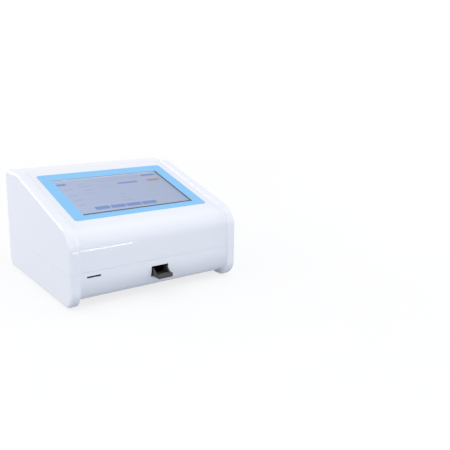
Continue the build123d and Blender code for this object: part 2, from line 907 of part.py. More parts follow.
with BuildPart() as card_board:
    with BuildSketch(Plane.XY.offset(card_board_top - board_sheet)):
        with Locations((card_x, card_board_y)):
            Rectangle(card_board_width, card_board_depth)
        with Locations(*card_board_spots):
            Circle(screw_radius + fit_gap, mode=Mode.SUBTRACT)
    extrude(amount=board_sheet)
card_board.part.label = "card_board"
export_step(card_board.part, "parts/card_board.step")

# Chassis plate of the tray mechanism
with BuildPart() as mechanism_chassis:
    with BuildSketch(Plane.XY.offset(chassis_bottom)):
        with Locations((chassis_x, chassis_y)):
            RectangleRounded(chassis_width, chassis_length, chassis_edge)
        with Locations(*chassis_spots):
            Circle(screw_radius + fit_gap, mode=Mode.SUBTRACT)
    extrude(amount=chassis_sheet)
mechanism_chassis.part.label = "mechanism_chassis"
export_step(mechanism_chassis.part, "parts/mechanism_chassis.step")

chassis_screw = screw(chassis_sheet + chassis_screw_bite)
with BuildPart() as chassis_screws:
    with Locations(*[(x, y, chassis_top) for x, y in chassis_spots]):
        add(chassis_screw)
chassis_screws.part.label = "chassis_screws"
export_step(chassis_screws.part, "parts/chassis_screws.step")

# Guide rods and the blocks that hold their ends
rod_start = front_y + chassis_front
rod_end = rod_start + chassis_length - rod_end_gap
rod_xs = [tray_x + side * rod_spacing / 2 for side in SIDES]
rod_block_width = rod_spacing + 2 * rod_block_side
rod_block_top = tray_bottom - carriage_sheet - slide_gap
rod_block_ys = (rod_start + rod_block_length / 2, rod_end - rod_block_length / 2)
with BuildPart() as rod_blocks:
    with BuildSketch(Plane.XY.offset(chassis_top)):
        with Locations(*[(tray_x, y) for y in rod_block_ys]):
            Rectangle(rod_block_width, rod_block_length)
    extrude(amount=rod_block_top - chassis_top)
    with BuildSketch(Plane.XZ.offset(-rod_start)):
        with Locations(*[(x, rod_height) for x in rod_xs]):
            Circle(rod_radius + bore_gap)
    extrude(amount=-(rod_end - rod_start), mode=Mode.SUBTRACT)
rod_blocks.part.label = "rod_blocks"
export_step(rod_blocks.part, "parts/rod_blocks.step")

with BuildPart() as guide_rods:
    with BuildSketch(Plane.XZ.offset(-rod_start)):
        with Locations(*[(x, rod_height) for x in rod_xs]):
            Circle(rod_radius)
    extrude(amount=-(rod_end - rod_start))
    chamfer(guide_rods.edges().filter_by(GeomType.CIRCLE), rod_chamfer)
guide_rods.part.label = "guide_rods"
export_step(guide_rods.part, "parts/guide_rods.step")

# Tray: a trough for the test cassette, with a low nose and side walls that rise behind it
tray_front = front_y - tray_reach
tray_back = tray_front + tray_length
scoop_z = tray_bottom + tray_nose_height + scoop_radius - scoop_depth
with BuildPart() as test_tray:
    with BuildSketch(Plane.YZ.offset(tray_x - tray_width / 2)):
        with BuildLine():
            Polyline(
                (tray_front, tray_bottom),
                (tray_back, tray_bottom),
                (tray_back, tray_bottom + tray_height),
                (tray_front + tray_nose_length + tray_rise_length, tray_bottom + tray_height),
                (tray_front + tray_nose_length, tray_bottom + tray_nose_height),
                (tray_front + tray_nose_chamfer, tray_bottom + tray_nose_height),
                (tray_front, tray_bottom + tray_nose_height - tray_nose_chamfer),
                close=True,
            )
        make_face()
    extrude(amount=tray_width)
    with BuildSketch(Plane.XY.offset(tray_bottom + tray_floor)):
        with Locations((tray_x, (tray_front + tray_nose_length + tray_back - tray_wall) / 2)):
            RectangleRounded(
                tray_width - 2 * tray_wall,
                tray_length - tray_nose_length - tray_wall,
                tray_cavity_round,
            )
    extrude(amount=tray_height, mode=Mode.SUBTRACT)
    with BuildSketch(Plane.YZ.offset(tray_x - scoop_length / 2)):
        with Locations((tray_front + tray_nose_length / 2, scoop_z)):
            Circle(scoop_radius)
    extrude(amount=scoop_length, mode=Mode.SUBTRACT)
    fillet(test_tray.edges().filter_by(Axis.Z).group_by(Axis.Y)[0], tray_nose_round)
test_tray.part.label = "test_tray"
export_step(test_tray.part, "parts/test_tray.step")

# Leaf clips that press the cassette against the right wall of the tray
clip_x = tray_x - tray_width / 2 + tray_wall
with BuildPart() as tray_clips:
    for setback in clip_setbacks:
        clip_y = tray_front + setback
        outer_half = clip_length / 2
        inner_half = outer_half - 2 * clip_sheet
        with BuildSketch(Plane.XY.offset(tray_bottom + tray_floor + clip_lift)):
            with BuildLine():
                ThreePointArc(
                    (clip_x, clip_y - outer_half),
                    (clip_x + clip_bow, clip_y),
                    (clip_x, clip_y + outer_half),
                )
                Line((clip_x, clip_y + outer_half), (clip_x, clip_y + inner_half))
                ThreePointArc(
                    (clip_x, clip_y + inner_half),
                    (clip_x + clip_bow - clip_sheet, clip_y),
                    (clip_x, clip_y - inner_half),
                )
                Line((clip_x, clip_y - inner_half), (clip_x, clip_y - outer_half))
            make_face()
        extrude(amount=clip_height)
tray_clips.part.label = "tray_clips"
export_step(tray_clips.part, "parts/tray_clips.step")

# Carriage under the tray, with a housing for each bush
gear_dedendum = 1.25 * gear_module
carriage_under = tray_bottom - carriage_sheet
carriage_front = liner_front + liner_depth + tray_travel_out + carriage_end_gap
carriage_back = carriage_front + carriage_length
carriage_right = tray_x + rack_x - gear_dedendum - rack_seat_gap
flag_x = tray_x - rod_spacing / 2 - bush_radius - flag_offset
carriage_left = flag_x - flag_edge
bush_housing_bottom = rod_height - bush_radius - bush_wall
bush_starts = (carriage_front + bush_front_setback, carriage_back - bush_length - bush_back_setback)
with BuildPart() as tray_carriage:
    with BuildSketch(Plane.XY.offset(carriage_under)):
        with Locations(((carriage_left + carriage_right) / 2, (carriage_front + carriage_back) / 2)):
            Rectangle(carriage_right - carriage_left, carriage_length)
    extrude(amount=carriage_sheet)
    with BuildSketch(Plane.XY.offset(bush_housing_bottom)):
        for start in bush_starts:
            with Locations(*[(x, start + bush_length / 2) for x in rod_xs]):
                Rectangle(2 * (bush_radius + bush_wall), bush_length)
    extrude(amount=carriage_under - bush_housing_bottom)
    for start in bush_starts:
        with BuildSketch(Plane.XZ.offset(-start)):
            with Locations(*[(x, rod_height) for x in rod_xs]):
                Circle(bush_radius)
        extrude(amount=-bush_length, mode=Mode.SUBTRACT)
tray_carriage.part.label = "tray_carriage"
export_step(tray_carriage.part, "parts/tray_carriage.step")

with BuildPart() as tray_bushes:
    for start in bush_starts:
        with BuildSketch(Plane.XZ.offset(-start)):
            with Locations(*[(x, rod_height) for x in rod_xs]):
                Circle(bush_radius)
                Circle(rod_radius + bore_gap, mode=Mode.SUBTRACT)
        extrude(amount=-bush_length)
tray_bushes.part.label = "tray_bushes"
export_step(tray_bushes.part, "parts/tray_bushes.step")

# Rack and pinion
gear_pitch = math.pi * gear_module
gear_pressure = math.radians(gear_pressure_angle)
gear_addendum = 0.9 * gear_module
pinion_radius = gear_module * pinion_teeth / 2
pinion_x = tray_x + rack_x + pinion_radius
pinion_y = carriage_front + tray_travel_in + pinion_lead
rack_line = tray_x + rack_x
rack_top = carriage_under
rack_bottom = rack_top - pinion_width - rack_spare
rack_half = carriage_length / 2 - gear_pitch
rack_mid_y = (carriage_front + carriage_back) / 2
rack_count = int(carriage_length / gear_pitch) + 2
rack_tooth_ys = [
    pinion_y + (k + 0.5) * gear_pitch
    for k in range(-rack_count, rack_count)
    if abs(pinion_y + (k + 0.5) * gear_pitch - rack_mid_y) < rack_half
]
rack_root_half = gear_pitch / 4 + gear_dedendum * math.tan(gear_pressure) - gear_backlash / 4
rack_tip_half = gear_pitch / 4 - gear_addendum * math.tan(gear_pressure) - gear_backlash / 4
with BuildPart() as tray_rack:
    with BuildSketch(Plane.XY.offset(rack_bottom)):
        with Locations((rack_line - gear_dedendum - rack_bar_width / 2, rack_mid_y)):
            Rectangle(rack_bar_width, carriage_length)
        for y in rack_tooth_ys:
            with BuildLine():
                Polyline(
                    (rack_line - gear_dedendum - rack_root_embed, y - rack_root_half),
                    (rack_line + gear_addendum, y - rack_tip_half),
                    (rack_line + gear_addendum, y + rack_tip_half),
                    (rack_line - gear_dedendum - rack_root_embed, y + rack_root_half),
                    close=True,
                )
            make_face()
    extrude(amount=rack_top - rack_bottom)
tray_rack.part.label = "tray_rack"
export_step(tray_rack.part, "parts/tray_rack.step")


def involute(angle):
    """The involute function, tangent minus angle."""
    return math.tan(angle) - angle


def tooth_half_angle(radius):
    """Half the angle that a pinion tooth spans at a radius, with involute flanks above the base circle."""
    base = pinion_radius * math.cos(gear_pressure)
    at_pitch = math.pi / (2 * pinion_teeth) - gear_backlash / (4 * pinion_radius)
    return at_pitch + involute(gear_pressure) - involute(math.acos(min(1.0, base / radius)))


pinion_root = pinion_radius - gear_dedendum
pinion_outer = pinion_radius + gear_addendum
flank_radii = [pinion_root - pinion_root_embed] + [
    pinion_root + (pinion_outer - pinion_root) * step / flank_steps for step in range(1, flank_steps + 1)
]
lower_flank = [(r * math.cos(tooth_half_angle(r)), -r * math.sin(tooth_half_angle(r))) for r in flank_radii]
upper_flank = [(x, -y) for x, y in reversed(lower_flank)]
pinion_bottom = rack_bottom + pinion_lift
with BuildSketch() as pinion_tooth:
    with BuildLine():
        Polyline(*lower_flank, *upper_flank, close=True)
    make_face()
with BuildPart() as drive_pinion:
    with BuildSketch(Plane.XY.offset(pinion_bottom)):
        with Locations((pinion_x, pinion_y)):
            Circle(pinion_root)
            with PolarLocations(0, pinion_teeth):
                add(pinion_tooth.sketch)
        with Locations((pinion_x, pinion_y)):
            Circle(motor_shaft_radius, mode=Mode.SUBTRACT)
    extrude(amount=pinion_width)
drive_pinion.part.label = "drive_pinion"
export_step(drive_pinion.part, "parts/drive_pinion.step")

# Motor on the bridge, with its shaft running down through the pinion
bridge_top = bridge_height + bridge_sheet
bridge_y = front_y + bridge_front + bridge_length / 2
motor_screw_spots = [(pinion_x, pinion_y + side * motor_ear_reach) for side in SIDES]
with BuildPart() as stepper_motor:
    with BuildSketch(Plane.XY.offset(bridge_top)):
        with Locations((pinion_x, pinion_y)):
            Circle(motor_radius)
    extrude(amount=motor_height)
    chamfer(stepper_motor.faces().sort_by(Axis.Z)[-1].edges(), motor_chamfer)
    with BuildSketch(Plane.XY.offset(bridge_top)):
        with Locations((pinion_x, pinion_y)):
            Rectangle(2 * motor_ear_radius, 2 * motor_ear_reach)
        with Locations(*motor_screw_spots):
            Circle(motor_ear_radius)
    extrude(amount=motor_ear_sheet)
    with BuildSketch(Plane.XY.offset(bridge_height)):
        with Locations((pinion_x, pinion_y)):
            Circle(motor_boss_radius)
    extrude(amount=bridge_sheet)
    with BuildSketch(Plane.XY.offset(bridge_height)):
        with Locations((pinion_x, pinion_y)):
            Circle(motor_shaft_radius + bore_gap)
    extrude(amount=bridge_sheet + shaft_depth + bore_gap, mode=Mode.SUBTRACT)
    with BuildSketch(Plane.XY.offset(bridge_top)):
        with Locations(*motor_screw_spots):
            Circle(screw_radius + fit_gap)
    extrude(amount=motor_ear_sheet, mode=Mode.SUBTRACT)
stepper_motor.part.label = "stepper_motor"
export_step(stepper_motor.part, "parts/stepper_motor.step")

shaft_bottom = pinion_bottom - shaft_overhang
with BuildPart() as motor_shaft:
    with BuildSketch(Plane.XY.offset(shaft_bottom)):
        with Locations((pinion_x, pinion_y)):
            Circle(motor_shaft_radius)
    extrude(amount=bridge_top + shaft_depth - shaft_bottom)
motor_shaft.part.label = "motor_shaft"
export_step(motor_shaft.part, "parts/motor_shaft.step")

# Bridge over the tray, on four posts
bridge_post_spots = [
    (chassis_x + side * chassis_post_x, bridge_y + end * (bridge_length / 2 - bridge_post_setback))
    for side in SIDES
    for end in SIDES
]
optics_x = tray_x
optics_y = front_y - tray_reach + cassette_window_setback + optics_behind_window
reader_y = optics_y + optics_length / 2 + reader_behind_optics
optics_screw_spots = corner_spots(optics_x, optics_y, optics_width, optics_length, optics_screw_setback)
with BuildPart() as bridge_plate:
    with BuildSketch(Plane.XY.offset(bridge_height)):
        with Locations((chassis_x, bridge_y)):
            RectangleRounded(chassis_width, bridge_length, bridge_corner)
        with Locations(*bridge_post_spots, *optics_screw_spots):
            Circle(screw_radius + fit_gap, mode=Mode.SUBTRACT)
        with Locations(*motor_screw_spots):
            Circle(screw_radius + bore_gap, mode=Mode.SUBTRACT)
        with Locations((pinion_x, pinion_y)):
            Circle(motor_boss_radius + fit_gap, mode=Mode.SUBTRACT)
        with Locations((optics_x, optics_y)):
            Circle(optics_bore, mode=Mode.SUBTRACT)
        with Locations((optics_x, reader_y)):
            Circle(reader_lens_radius + fit_gap, mode=Mode.SUBTRACT)
    extrude(amount=bridge_sheet)
bridge_plate.part.label = "bridge_plate"
export_step(bridge_plate.part, "parts/bridge_plate.step")

with BuildPart() as bridge_posts:
    with BuildSketch(Plane.XY.offset(chassis_top)):
        with Locations(*bridge_post_spots):
            RegularPolygon(bridge_post_radius, 6)
    extrude(amount=bridge_height - chassis_top)
    with BuildSketch(Plane.XY.offset(bridge_height)):
        with Locations(*bridge_post_spots):
            Circle(screw_radius + bore_gap)
    extrude(amount=-(long_screw_bite + hole_spare), mode=Mode.SUBTRACT)
bridge_posts.part.label = "bridge_posts"
export_step(bridge_posts.part, "parts/bridge_posts.step")

# Longer screws, all alike, hold the bridge, the motor and the optics
bridge_screw = screw(bridge_sheet + long_screw_bite)
with BuildPart() as bridge_screws:
    with Locations(*[(x, y, bridge_top) for x, y in bridge_post_spots]):
        add(bridge_screw)
    with Locations(*[(x, y, bridge_top + motor_ear_sheet) for x, y in motor_screw_spots]):
        add(bridge_screw)
    with Locations(*[Location((x, y, bridge_height), (180, 0, 0)) for x, y in optics_screw_spots]):
        add(bridge_screw)
bridge_screws.part.label = "bridge_screws"
export_step(bridge_screws.part, "parts/bridge_screws.step")

# Optics: a black block with an upright bore for the beam and a level one for the lamp
beam_z = bridge_top + beam_height
optics_top = bridge_top + optics_height
with BuildPart() as optics_housing:
    with BuildSketch(Plane.XY.offset(bridge_top)):
        with Locations((optics_x, optics_y)):
            Rectangle(optics_width, optics_length)
    extrude(amount=optics_height)
    chamfer(optics_housing.edges().filter_by(Axis.Z), optics_chamfer)
    with BuildSketch(Plane.XY.offset(bridge_top)):
        with Locations((optics_x, optics_y)):
            Circle(optics_bore)
    extrude(amount=optics_height, mode=Mode.SUBTRACT)
    with BuildSketch(Plane.XZ.offset(-(optics_y - optics_length / 2))):
        with Locations((optics_x, beam_z)):
            Circle(lamp_bore)
    extrude(amount=-optics_length / 2, mode=Mode.SUBTRACT)
    with BuildSketch(Plane.XY.offset(bridge_top)):
        with Locations(*optics_screw_spots):
            Circle(screw_radius + bore_gap)
    extrude(amount=long_screw_bite + hole_spare, mode=Mode.SUBTRACT)
optics_housing.part.label = "optics_housing"
export_step(optics_housing.part, "parts/optics_housing.step")


def lens(radius, thickness, bulge):
    """A lens on +Z with its flat side at the origin, its rim thickness high and its crown bulge higher."""
    ball_radius = (radius**2 + bulge**2) / (2 * bulge)
    with BuildPart() as glass:
        Cylinder(radius, thickness + bulge, align=LOW)
        with Locations((0, 0, thickness + bulge - ball_radius)):
            Sphere(ball_radius, mode=Mode.INTERSECT)
    return glass.part


with BuildPart() as objective_lens:
    with Locations((optics_x, optics_y, bridge_top + objective_lift)):
        add(lens(optics_bore - lens_gap, disc_thickness, objective_bulge))
objective_lens.part.label = "objective_lens"
export_step(objective_lens.part, "parts/objective_lens.step")

with BuildPart() as emission_filter:
    with BuildSketch(Plane.XY.offset(optics_top - emission_setback)):
        with Locations((optics_x, optics_y)):
            Circle(optics_bore - lens_gap)
    extrude(amount=disc_thickness)
emission_filter.part.label = "emission_filter"
export_step(emission_filter.part, "parts/emission_filter.step")

with BuildPart() as excitation_filter:
    with BuildSketch(Plane.XZ.offset(-(optics_y - optics_bore - excitation_setback))):
        with Locations((optics_x, beam_z)):
            Circle(lamp_bore - lens_gap)
    extrude(amount=-disc_thickness)
excitation_filter.part.label = "excitation_filter"
export_step(excitation_filter.part, "parts/excitation_filter.step")

with BuildPart() as condenser_lens:
    with Locations(Location((optics_x, optics_y - optics_bore - condenser_setback, beam_z), (-90, 0, 0))):
        add(lens(lamp_bore - lens_gap, disc_thickness, condenser_bulge))
condenser_lens.part.label = "condenser_lens"
export_step(condenser_lens.part, "parts/condenser_lens.step")

mirror_plane = Plane(origin=(optics_x, optics_y, beam_z), x_dir=(1, 0, 0), z_dir=(0, -1, -1))
with BuildPart() as dichroic_mirror:
    with BuildSketch(mirror_plane.offset(-mirror_sheet / 2)):
        Rectangle(mirror_width, mirror_length)
    extrude(amount=mirror_sheet)
dichroic_mirror.part.label = "dichroic_mirror"
export_step(dichroic_mirror.part, "parts/dichroic_mirror.step")

lamp_face_y = optics_y - optics_length / 2
with BuildPart() as lamp_board:
    with BuildSketch(Plane.XZ.offset(-(lamp_face_y - board_sheet))):
        with Locations((optics_x, beam_z)):
            Rectangle(lamp_board_side, lamp_board_side)
    extrude(amount=-board_sheet)
lamp_board.part.label = "lamp_board"
export_step(lamp_board.part, "parts/lamp_board.step")

with BuildPart() as uv_lamp:
    with Locations(Location((optics_x, lamp_face_y, beam_z), (-90, 0, 0))):
        Cylinder(lamp_radius, lamp_length, align=LOW)
    with Locations((optics_x, lamp_face_y + lamp_length, beam_z)):
        Sphere(lamp_radius)
uv_lamp.part.label = "uv_lamp"
export_step(uv_lamp.part, "parts/uv_lamp.step")

with BuildPart() as detector_board:
    with BuildSketch(Plane.XY.offset(optics_top)):
        with Locations((optics_x, optics_y)):
            Rectangle(optics_width - 2 * detector_board_side_gap, optics_length - 2 * detector_board_end_gap)
    extrude(amount=board_sheet)
detector_board.part.label = "detector_board"
export_step(detector_board.part, "parts/detector_board.step")

with BuildPart() as light_detector:
    with BuildSketch(Plane.XY.offset(optics_top)):
        with Locations((optics_x, optics_y)):
            Circle(detector_radius)
    extrude(amount=-detector_height)
light_detector.part.label = "light_detector"
export_step(light_detector.part, "parts/light_detector.step")

cover_width = optics_width - 2 * cover_side_gap
cover_length = optics_length - 2 * cover_end_gap
with BuildPart() as detector_cover:
    with BuildSketch(Plane.XY.offset(optics_top)):
        with Locations((optics_x, optics_y)):
            Rectangle(cover_width, cover_length)
    extrude(amount=cover_height)
    fillet(detector_cover.edges().filter_by(Axis.Z), cover_round)
    with BuildSketch(Plane.XY.offset(optics_top)):
        with Locations((optics_x, optics_y)):
            Rectangle(cover_width - 2 * cover_wall, cover_length - 2 * cover_wall)
    extrude(amount=cover_height - cover_wall, mode=Mode.SUBTRACT)
detector_cover.part.label = "detector_cover"
export_step(detector_cover.part, "parts/detector_cover.step")

with BuildPart() as code_reader:
    with BuildSketch(Plane.XY.offset(bridge_top)):
        with Locations((optics_x, reader_y)):
            RectangleRounded(reader_size, reader_size, reader_corner)
    extrude(amount=reader_height)
    with BuildSketch(Plane.XY.offset(bridge_top)):
        with Locations((optics_x, reader_y)):
            Circle(reader_lens_radius)
    extrude(amount=-bridge_sheet)
code_reader.part.label = "code_reader"
export_step(code_reader.part, "parts/code_reader.step")

# Sensors that see the carriage's flag at each end of its travel
flag_y = carriage_front + carriage_length / 2
sensor_arm_top = carriage_under - sensor_headroom
sensor_slot = flag_sheet + 2 * sensor_gap
sensor_spots = [
    (flag_x, flag_y - tray_travel_out + sensor_length / 2),
    (flag_x, flag_y + tray_travel_in - sensor_length / 2),
]
with BuildPart() as tray_sensors:
    with BuildSketch(Plane.XY.offset(chassis_top)):
        with Locations(*sensor_spots):
            Rectangle(sensor_slot + 2 * sensor_arm, sensor_length)
    extrude(amount=sensor_arm_top - chassis_top)
    with BuildSketch(Plane.XY.offset(chassis_top + sensor_base)):
        with Locations(*sensor_spots):
            Rectangle(sensor_slot, sensor_length)
    extrude(amount=sensor_arm_top - chassis_top, mode=Mode.SUBTRACT)
tray_sensors.part.label = "tray_sensors"
export_step(tray_sensors.part, "parts/tray_sensors.step")

with BuildPart() as tray_flag:
    with BuildSketch(Plane.YZ.offset(flag_x - flag_sheet / 2)):
        with BuildLine():
            Polyline(
                (flag_y - flag_length / 2, carriage_under),
                (flag_y + flag_length / 2, carriage_under),
                (flag_y + flag_length / 2, carriage_under - flag_drop + flag_chamfer),
                (flag_y + flag_length / 2 - flag_chamfer, carriage_under - flag_drop),
                (flag_y - flag_length / 2 + flag_chamfer, carriage_under - flag_drop),
                (flag_y - flag_length / 2, carriage_under - flag_drop + flag_chamfer),
                close=True,
            )
        make_face()
    extrude(amount=flag_sheet)
tray_flag.part.label = "tray_flag"
export_step(tray_flag.part, "parts/tray_flag.step")

# Boards. Each chip is given by its place from the middle of the mainboard, its width and its length.
chips = [
    (-58.0, -14.0, 16.0, 12.0),
    (-58.0, 6.0, 12.0, 12.0),
    (24.0, -18.0, 12.0, 18.0),
    (48.0, -12.0, 10.0, 10.0),
]
with BuildPart() as mainboard:
    with BuildSketch(Plane.XY.offset(board_bottom)):
        with Locations((mainboard_x, mainboard_mid_y)):
            Rectangle(mainboard_width, mainboard_depth)
        with Locations(*mainboard_spots):
            Circle(screw_radius + fit_gap, mode=Mode.SUBTRACT)
    extrude(amount=board_sheet)
    with BuildSketch(Plane.XY.offset(board_top)):
        for dx, dy, chip_width, chip_length in chips:
            with Locations((mainboard_x + dx, mainboard_mid_y + dy)):
                Rectangle(chip_width, chip_length)
    extrude(amount=chip_height)
mainboard.part.label = "mainboard"
export_step(mainboard.part, "parts/mainboard.step")

processor_x = mainboard_x - processor_left
processor_y = mainboard_mid_y - processor_ahead
with BuildPart() as processor_heat_sink:
    with BuildSketch(Plane.XY.offset(board_top)):
        with Locations((processor_x, processor_y)):
            Rectangle(heat_sink_size, heat_sink_size)
    extrude(amount=heat_sink_base)
    with BuildSketch(Plane.XY.offset(board_top + heat_sink_base)):
        with Locations((processor_x, processor_y)):
            with GridLocations(heat_sink_size / heat_sink_fins, 1, heat_sink_fins, 1):
                Rectangle(heat_sink_fin, heat_sink_size)
    extrude(amount=heat_sink_height - heat_sink_base)
processor_heat_sink.part.label = "processor_heat_sink"
export_step(processor_heat_sink.part, "parts/processor_heat_sink.step")

coin_cell_x = mainboard_x + coin_cell_right
coin_cell_y = mainboard_mid_y + coin_cell_behind
with BuildPart() as coin_cell_holder:
    with BuildSketch(Plane.XY.offset(board_top)):
        with Locations((coin_cell_x, coin_cell_y)):
            Circle(coin_cell_radius + coin_cell_wall)
    extrude(amount=coin_cell_holder_height)
    with BuildSketch(Plane.XY.offset(board_top + coin_cell_lift)):
        with Locations((coin_cell_x, coin_cell_y)):
            Circle(coin_cell_radius + fit_gap)
    extrude(amount=coin_cell_holder_height, mode=Mode.SUBTRACT)
coin_cell_holder.part.label = "coin_cell_holder"
export_step(coin_cell_holder.part, "parts/coin_cell_holder.step")

with BuildPart() as coin_cell:
    with BuildSketch(Plane.XY.offset(board_top + coin_cell_lift)):
        with Locations((coin_cell_x, coin_cell_y)):
            Circle(coin_cell_radius)
    extrude(amount=coin_cell_height)
    chamfer(coin_cell.faces().sort_by(Axis.Z)[-1].edges(), coin_cell_chamfer)
coin_cell.part.label = "coin_cell"
export_step(coin_cell.part, "parts/coin_cell.step")

with BuildPart() as power_board:
    with BuildSketch(Plane.XY.offset(board_bottom)):
        with Locations((power_board_x, power_board_y)):
            Rectangle(power_board_width, power_board_depth)
        with Locations(*power_board_spots):
            Circle(screw_radius + fit_gap, mode=Mode.SUBTRACT)
    extrude(amount=board_sheet)
    with BuildSketch(Plane.XY.offset(board_top)):
        with Locations((power_board_x - 8.0, power_board_y), (power_board_x + 10.0, power_board_y + 8.0)):
            Circle(capacitor_radius)
    extrude(amount=capacitor_height)
    with BuildSketch(Plane.XY.offset(board_top)):
        with Locations((power_board_x + 4.0, power_board_y - 14.0)):
            Rectangle(coil_width, coil_length)
    extrude(amount=coil_height)
power_board.part.label = "power_board"
export_step(power_board.part, "parts/power_board.step")

with BuildPart() as speaker:
    with BuildSketch(Plane.XY.offset(inner_base)):
        with Locations((speaker_x, speaker_y)):
            Circle(speaker_radius)
    extrude(amount=speaker_flange)
    with BuildSketch(Plane.XY.offset(inner_base + speaker_flange)):
        with Locations((speaker_x, speaker_y)):
            Circle(speaker_cone_radius)
    extrude(amount=speaker_height - speaker_flange, taper=speaker_taper)
speaker.part.label = "speaker"
export_step(speaker.part, "parts/speaker.step")

# Sockets along the back edge of the mainboard, each with its face through the rear panel.
# Each is given by its place from the panel's left end, its width, its height and its depth.
socket_face_y = panel_face_y + socket_stand_out
SOCKETS = {
    "usb_socket": (rear_panel_left + 20.0, 13.4, 15.6, 17.5),
    "network_socket": (rear_panel_left + 46.0, 16.0, 13.6, 21.0),
    "serial_socket": (rear_panel_left + 82.0, 31.0, 12.6, 14.0),
    "power_socket": (rear_panel_left + 124.0, 9.4, 11.0, 14.0),
}


def socket_block(name):
    """The outer block of a board socket: it stands on the mainboard and looks out of the back."""
    x, width, height, depth = SOCKETS[name]
    with BuildPart() as block:
        with BuildSketch(Plane.XZ.offset(-socket_face_y)):
            with Locations((x, board_top + height / 2)):
                Rectangle(width, height)
        extrude(amount=depth)
    return block.part


socket_floor = 4.0
socket_tongue_setback = 1.0
usb_shell = 0.5
usb_port_height = 6.0
usb_tongue = 1.8
usb_tongue_gap = 0.8
with BuildPart() as usb_socket:
    x, width, height, depth = SOCKETS["usb_socket"]
    usb_mid_zs = [board_top + height / 2 + side * height / 4 for side in SIDES]
    add(socket_block("usb_socket"))
    with BuildSketch(Plane.XZ.offset(-socket_face_y)):
        with Locations(*[(x, z) for z in usb_mid_zs]):
            Rectangle(width - 2 * usb_shell, usb_port_height)
    extrude(amount=depth - socket_floor, mode=Mode.SUBTRACT)
    with BuildSketch(Plane.XZ.offset(-(socket_face_y - socket_tongue_setback))):
        with Locations(*[(x, z + usb_port_height / 2 - usb_tongue_gap - usb_tongue / 2) for z in usb_mid_zs]):
            Rectangle(width - 2 * usb_shell - 2 * usb_tongue_gap, usb_tongue)
    extrude(amount=depth - socket_floor - socket_tongue_setback)
usb_socket.part.label = "usb_socket"
export_step(usb_socket.part, "parts/usb_socket.step")

network_port_width = 11.8
network_port_height = 8.0
network_port_lift = 3.4
network_latch_width = 4.4
network_latch_drop = 2.4
network_floor = 6.0
with BuildPart() as network_socket:
    x, width, height, depth = SOCKETS["network_socket"]
    port_bottom = board_top + network_port_lift
    add(socket_block("network_socket"))
    with BuildSketch(Plane.XZ.offset(-socket_face_y)):
        with Locations((x, port_bottom + network_port_height / 2)):
            Rectangle(network_port_width, network_port_height)
        with Locations((x, port_bottom)):
            Rectangle(network_latch_width, 2 * network_latch_drop)
    extrude(amount=depth - network_floor, mode=Mode.SUBTRACT)
network_socket.part.label = "network_socket"
export_step(network_socket.part, "parts/network_socket.step")

serial_shell_width = 18.0
serial_shell_height = 10.0
serial_shell_round = 2.6
serial_shell_wall = 0.5
serial_pin_radius = 0.5
serial_pin_pitch = 2.8
serial_mid_z = board_top + SOCKETS["serial_socket"][2] / 2
with BuildPart() as serial_socket:
    x, width, height, depth = SOCKETS["serial_socket"]
    with BuildSketch(Plane.XZ.offset(-panel_back_y)):
        with Locations((x, serial_mid_z)):
            Rectangle(width, height)
    extrude(amount=depth - (socket_face_y - panel_back_y))
    with BuildSketch(Plane.XZ.offset(-socket_face_y)):
        with Locations((x, serial_mid_z)):
            RectangleRounded(serial_shell_width, serial_shell_height, serial_shell_round)
            RectangleRounded(
                serial_shell_width - 2 * serial_shell_wall,
                serial_shell_height - 2 * serial_shell_wall,
                serial_shell_round - serial_shell_wall,
                mode=Mode.SUBTRACT,
            )
    extrude(amount=socket_face_y - panel_back_y)
    with BuildSketch(Plane.XZ.offset(-(socket_face_y - socket_tongue_setback))):
        for row, pins in ((1, 5), (-1, 4)):
            with Locations((x, serial_mid_z + row * serial_pin_pitch / 2)):
                with GridLocations(serial_pin_pitch, 1, pins, 1):
                    Circle(serial_pin_radius)
    extrude(amount=socket_face_y - panel_back_y - socket_tongue_setback)
serial_socket.part.label = "serial_socket"
export_step(serial_socket.part, "parts/serial_socket.step")

power_bore_radius = 3.2
power_pin_radius = 1.0
with BuildPart() as power_socket:
    x, width, height, depth = SOCKETS["power_socket"]
    add(socket_block("power_socket"))
    with BuildSketch(Plane.XZ.offset(-socket_face_y)):
        with Locations((x, board_top + height / 2)):
            Circle(power_bore_radius)
            Circle(power_pin_radius, mode=Mode.SUBTRACT)
    extrude(amount=depth - socket_floor, mode=Mode.SUBTRACT)
power_socket.part.label = "power_socket"
export_step(power_socket.part, "parts/power_socket.step")

# Rear panel, with cut-outs for the sockets and the switch, and a row of vents
vent_z = rear_panel_top - vent_setback
with BuildPart() as rear_panel:
    with BuildSketch(Plane.XZ.offset(-panel_face_y)):
        with Locations((0, rear_mid_z)):
            RectangleRounded(rear_panel_width, rear_panel_height, rear_panel_corner)
        for name in ("usb_socket", "network_socket", "power_socket"):
            x, width, height, depth = SOCKETS[name]
            with Locations((x, board_top + height / 2)):
                Rectangle(width + 2 * fit_gap, height + 2 * fit_gap, mode=Mode.SUBTRACT)
        with Locations((SOCKETS["serial_socket"][0], serial_mid_z)):
            RectangleRounded(
                serial_shell_width + 2 * fit_gap,
                serial_shell_height + 2 * fit_gap,
                serial_shell_round + fit_gap,
                mode=Mode.SUBTRACT,
            )
        with Locations((switch_x, switch_z)):
            Rectangle(switch_width + 2 * fit_gap, switch_height + 2 * fit_gap, mode=Mode.SUBTRACT)
        with Locations((vent_x, vent_z)):
            with GridLocations(vent_pitch, 1, vent_count, 1):
                SlotOverall(vent_height, vent_width, rotation=90, mode=Mode.SUBTRACT)
        with Locations(*rear_screw_spots):
            Circle(screw_radius + fit_gap, mode=Mode.SUBTRACT)
    extrude(amount=rear_panel_sheet)
rear_panel.part.label = "rear_panel"
export_step(rear_panel.part, "parts/rear_panel.step")

